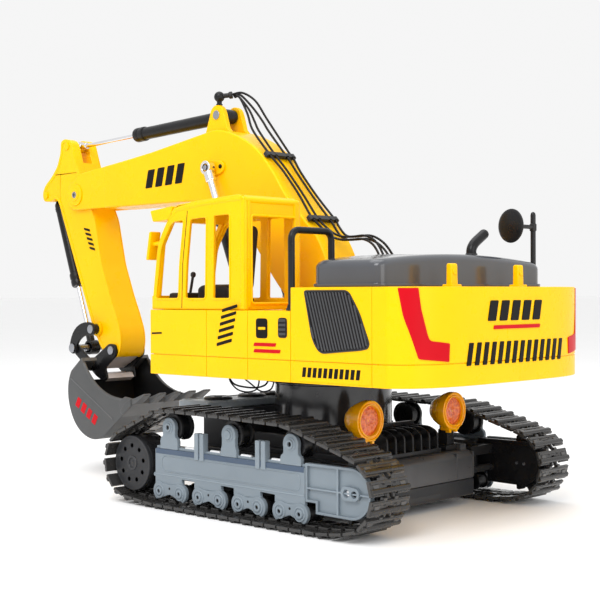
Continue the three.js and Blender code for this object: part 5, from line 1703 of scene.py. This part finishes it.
def ram(part, start, end, y, barrel_r, rod_r, length, buried, eyes, eye_look, name=None):
    """A cylinder from start to end in x and z: barrel, caps and collar, plated rod, and eyes."""
    a, b = Vector((start[0], y, start[1])), Vector((end[0], y, end[1]))
    along = (b - a).normalized()
    full = (b - a).length
    (eye_r, eye_half, pin), (rod_eye_r, rod_eye_half, bore) = eyes
    barrel = Piece(f"{name or part}_barrel_tube", f"{part}_barrel", "charcoal_plastic",
                   f"{part}_barrel", smooth=40)
    r = barrel_r
    profile = [(4, 0), (4, r * 0.62), (6, r * 0.72), (8, r * 0.96), (9.4, r), (length - 12.4, r),
               (length - 12, r + 0.7), (length - 11, r + 0.9), (length - 7.4, r + 0.9),
               (length - 6.8, r + 0.5), (length - 6, r + 0.5), (length - 5.4, r + 0.9),
               (length - 1.6, r + 0.9), (length - 0.6, r + 0.5), (length, r - 0.2),
               (length, rod_r + 0.5), (length - 3, rod_r + 0.5), (length - 3, 0)]
    barrel.add(*turned(a, b, profile, 36), BLACK)
    for h in (11.5, 13.2):
        barrel.add(*turned(a + along * h, b,
                           [(0, r - 0.1), (0.2, r + 0.35), (0.9, r + 0.35), (1.1, r - 0.1)], 36),
                   BLACK)
    loops = [circle(start[0], start[1], eye_r, 28)]
    if not pin:
        loops.append(circle(start[0], start[1], 2.3, 18))
    barrel.add(*slab(loops, y - eye_half, y + eye_half, 0.5), BLACK)
    if pin:
        barrel.add(*disc(start[0], start[1], 2.2, y - pin, y + pin, 0.2, 18), SCREW)
    neck = [(3, 0), (3, r * 0.62), (8, r * 0.7), (8, 0)]
    barrel.add(*turned(a, b, neck, 20), BLACK)
    barrel.make()
    rod = Piece(f"{name or part}_rod_bar", f"{part}_rod", "chrome_rod", f"{part}_rod", smooth=50)
    stop = full - bore - 0.6
    rod.add(*turned(a, b,
                    [(buried, 0), (buried, rod_r), (stop - 7, rod_r), (stop, rod_r), (stop, 0)],
                    30), CHROME)
    rod.add(*turned(a, b,
                    [(stop - 8, 0), (stop - 8, rod_r + 0.8), (stop - 7.4, rod_r + 1.3),
                     (stop, rod_r + 1.3), (stop, 0)], 26), eye_look)
    rod.add(*slab([circle(end[0], end[1], rod_eye_r, 30), circle(end[0], end[1], bore, 20)],
                  y - rod_eye_half, y + rod_eye_half, 0.5), eye_look)
    rod.make()


for side, y in (("left", 24.5), ("right", -24.5)):
    ram(f"{side}_lift", (52, 112), LIFT_PIN, y, 5.4, 3, 112, 34, ((5.2, 2.8, 0), (5.4, 3, 3.2)),
        CHROME)
ram("arm", EAR, HEAD_PIN, 0, 5.2, 1.8, 113, 52, ((5.6, 6.4, 11.4), (5, 4, 3.1)), CHROME)
ram("bucket", LUG_PIN, KNUCKLE, 0, 5, 2.2, 88, 30, ((5.2, 5.4, 0), (6.4, 4.5, 4.4)), BLACK,
    "bucket_ram")


def tail_hose(k):
    """A hose sagging from the lower clamp on the boom into the engine cover."""
    y = LANES[k]
    spread = (-9, -3, 3.4, 9)[k]
    low = (3.0, -1.5, 2.5, -2.0)[k]
    line = [on_clamp(LOWER_CLAMP, -3.6, y, 2.9), on_clamp(LOWER_CLAMP, -7, y * 0.9, 2.8)]
    line += [(-4, y * 0.62, 193.6 + 0.4 * low), (-12, y * 0.36, 190.6 + 0.5 * low),
             (-22, y * 0.3, 190.4 + 0.5 * low)]
    line += [(-31, y * 0.3, 190.6 + 0.55 * low), (-38, y * 0.22 + spread * 0.14, 188.6 + 0.6 * low)]
    line += [(-44.5, y * 0.1 + spread * 0.5, 184.4 + 0.4 * low), (-50, spread * 0.85, 177.6),
             (-53.4, spread, 170), (-55.4, spread, 163), (-56.4, spread, 157)]
    made = hose(f"house_hose_{k + 1}", "house", line, 1.8, "hose_bundle" if k == 0 else None,
                step=0.85, slim=0.86 / 0.9, knots=0.09, free=True)
    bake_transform(made)


for k in range(4):
    tail_hose(k)
WIRE = [(44, 62, 94), (43.4, 62, 90), (38, 62, 86.4), (28, 61, 85), (18, 60, 85.2), (10, 60, 87.4),
        (6.6, 60, 91), (6, 60, 94)]
hose("belly_cable", "house", WIRE, 1.4, "belly_wire")
LOOPS = ([(40, 66, 94), (39, 66, 89), (33, 65, 83.6), (24, 64, 82), (16, 63, 84), (13, 63, 89),
          (13, 63, 94)],
         [(34, 58, 94), (33, 58, 91), (26, 58.6, 87.6), (14, 60, 82.8), (4, 61, 84.4),
          (0.6, 61, 89), (0, 61, 94)])
for k, loop in enumerate(LOOPS):
    hose(f"belly_cable_{k + 2}", "house", loop, 1.2)


# ---- floor and light ---------------------------------------------------------------------


def floor():
    bm = bmesh.new()
    bmesh.ops.create_grid(bm, x_segments=2, y_segments=2, size=40)
    mesh = bpy.data.meshes.new("floor")
    bm.to_mesh(mesh)
    bm.free()
    material, tree, shader = nodes_of("floor_white")
    drift = span(tree, noise_node(tree, 0.004, 2), 0, 1)
    link(tree, mixed(tree, drift, (0.965, 0.965, 0.965), (0.975, 0.975, 0.975)),
         shader.inputs["Base Color"])
    put(shader, {"Roughness": 0.75, "Specular IOR Level": 0.2})
    mesh.materials.append(material)
    plane = bpy.data.objects.new("floor", mesh)
    bpy.context.scene.collection.objects.link(plane)


def soft_light(name, where, target, size, watts):
    data = bpy.data.lights.new(name, "AREA")
    data.size = size
    data.energy = watts
    light = bpy.data.objects.new(name, data)
    light.location = where
    light.rotation_euler = (Vector(target) - Vector(where)).to_track_quat("-Z", "Y").to_euler()
    bpy.context.scene.collection.objects.link(light)


def studio():
    world = bpy.data.worlds.new("studio")
    world.use_nodes = True
    put(world.node_tree.nodes["Background"], {"Color": (1, 1, 1, 1), "Strength": 0.92})
    bpy.context.scene.world = world
    soft_light("key", (-0.55, 1.15, 1.25), (0, 0, 0.12), 0.9, 14)
    soft_light("fill", (-1.4, 0.1, 0.5), (0, 0, 0.12), 0.8, 3.5)
    soft_light("top", (0.1, 0, 1.5), (0, 0, 0), 1.2, 7)


floor()
studio()
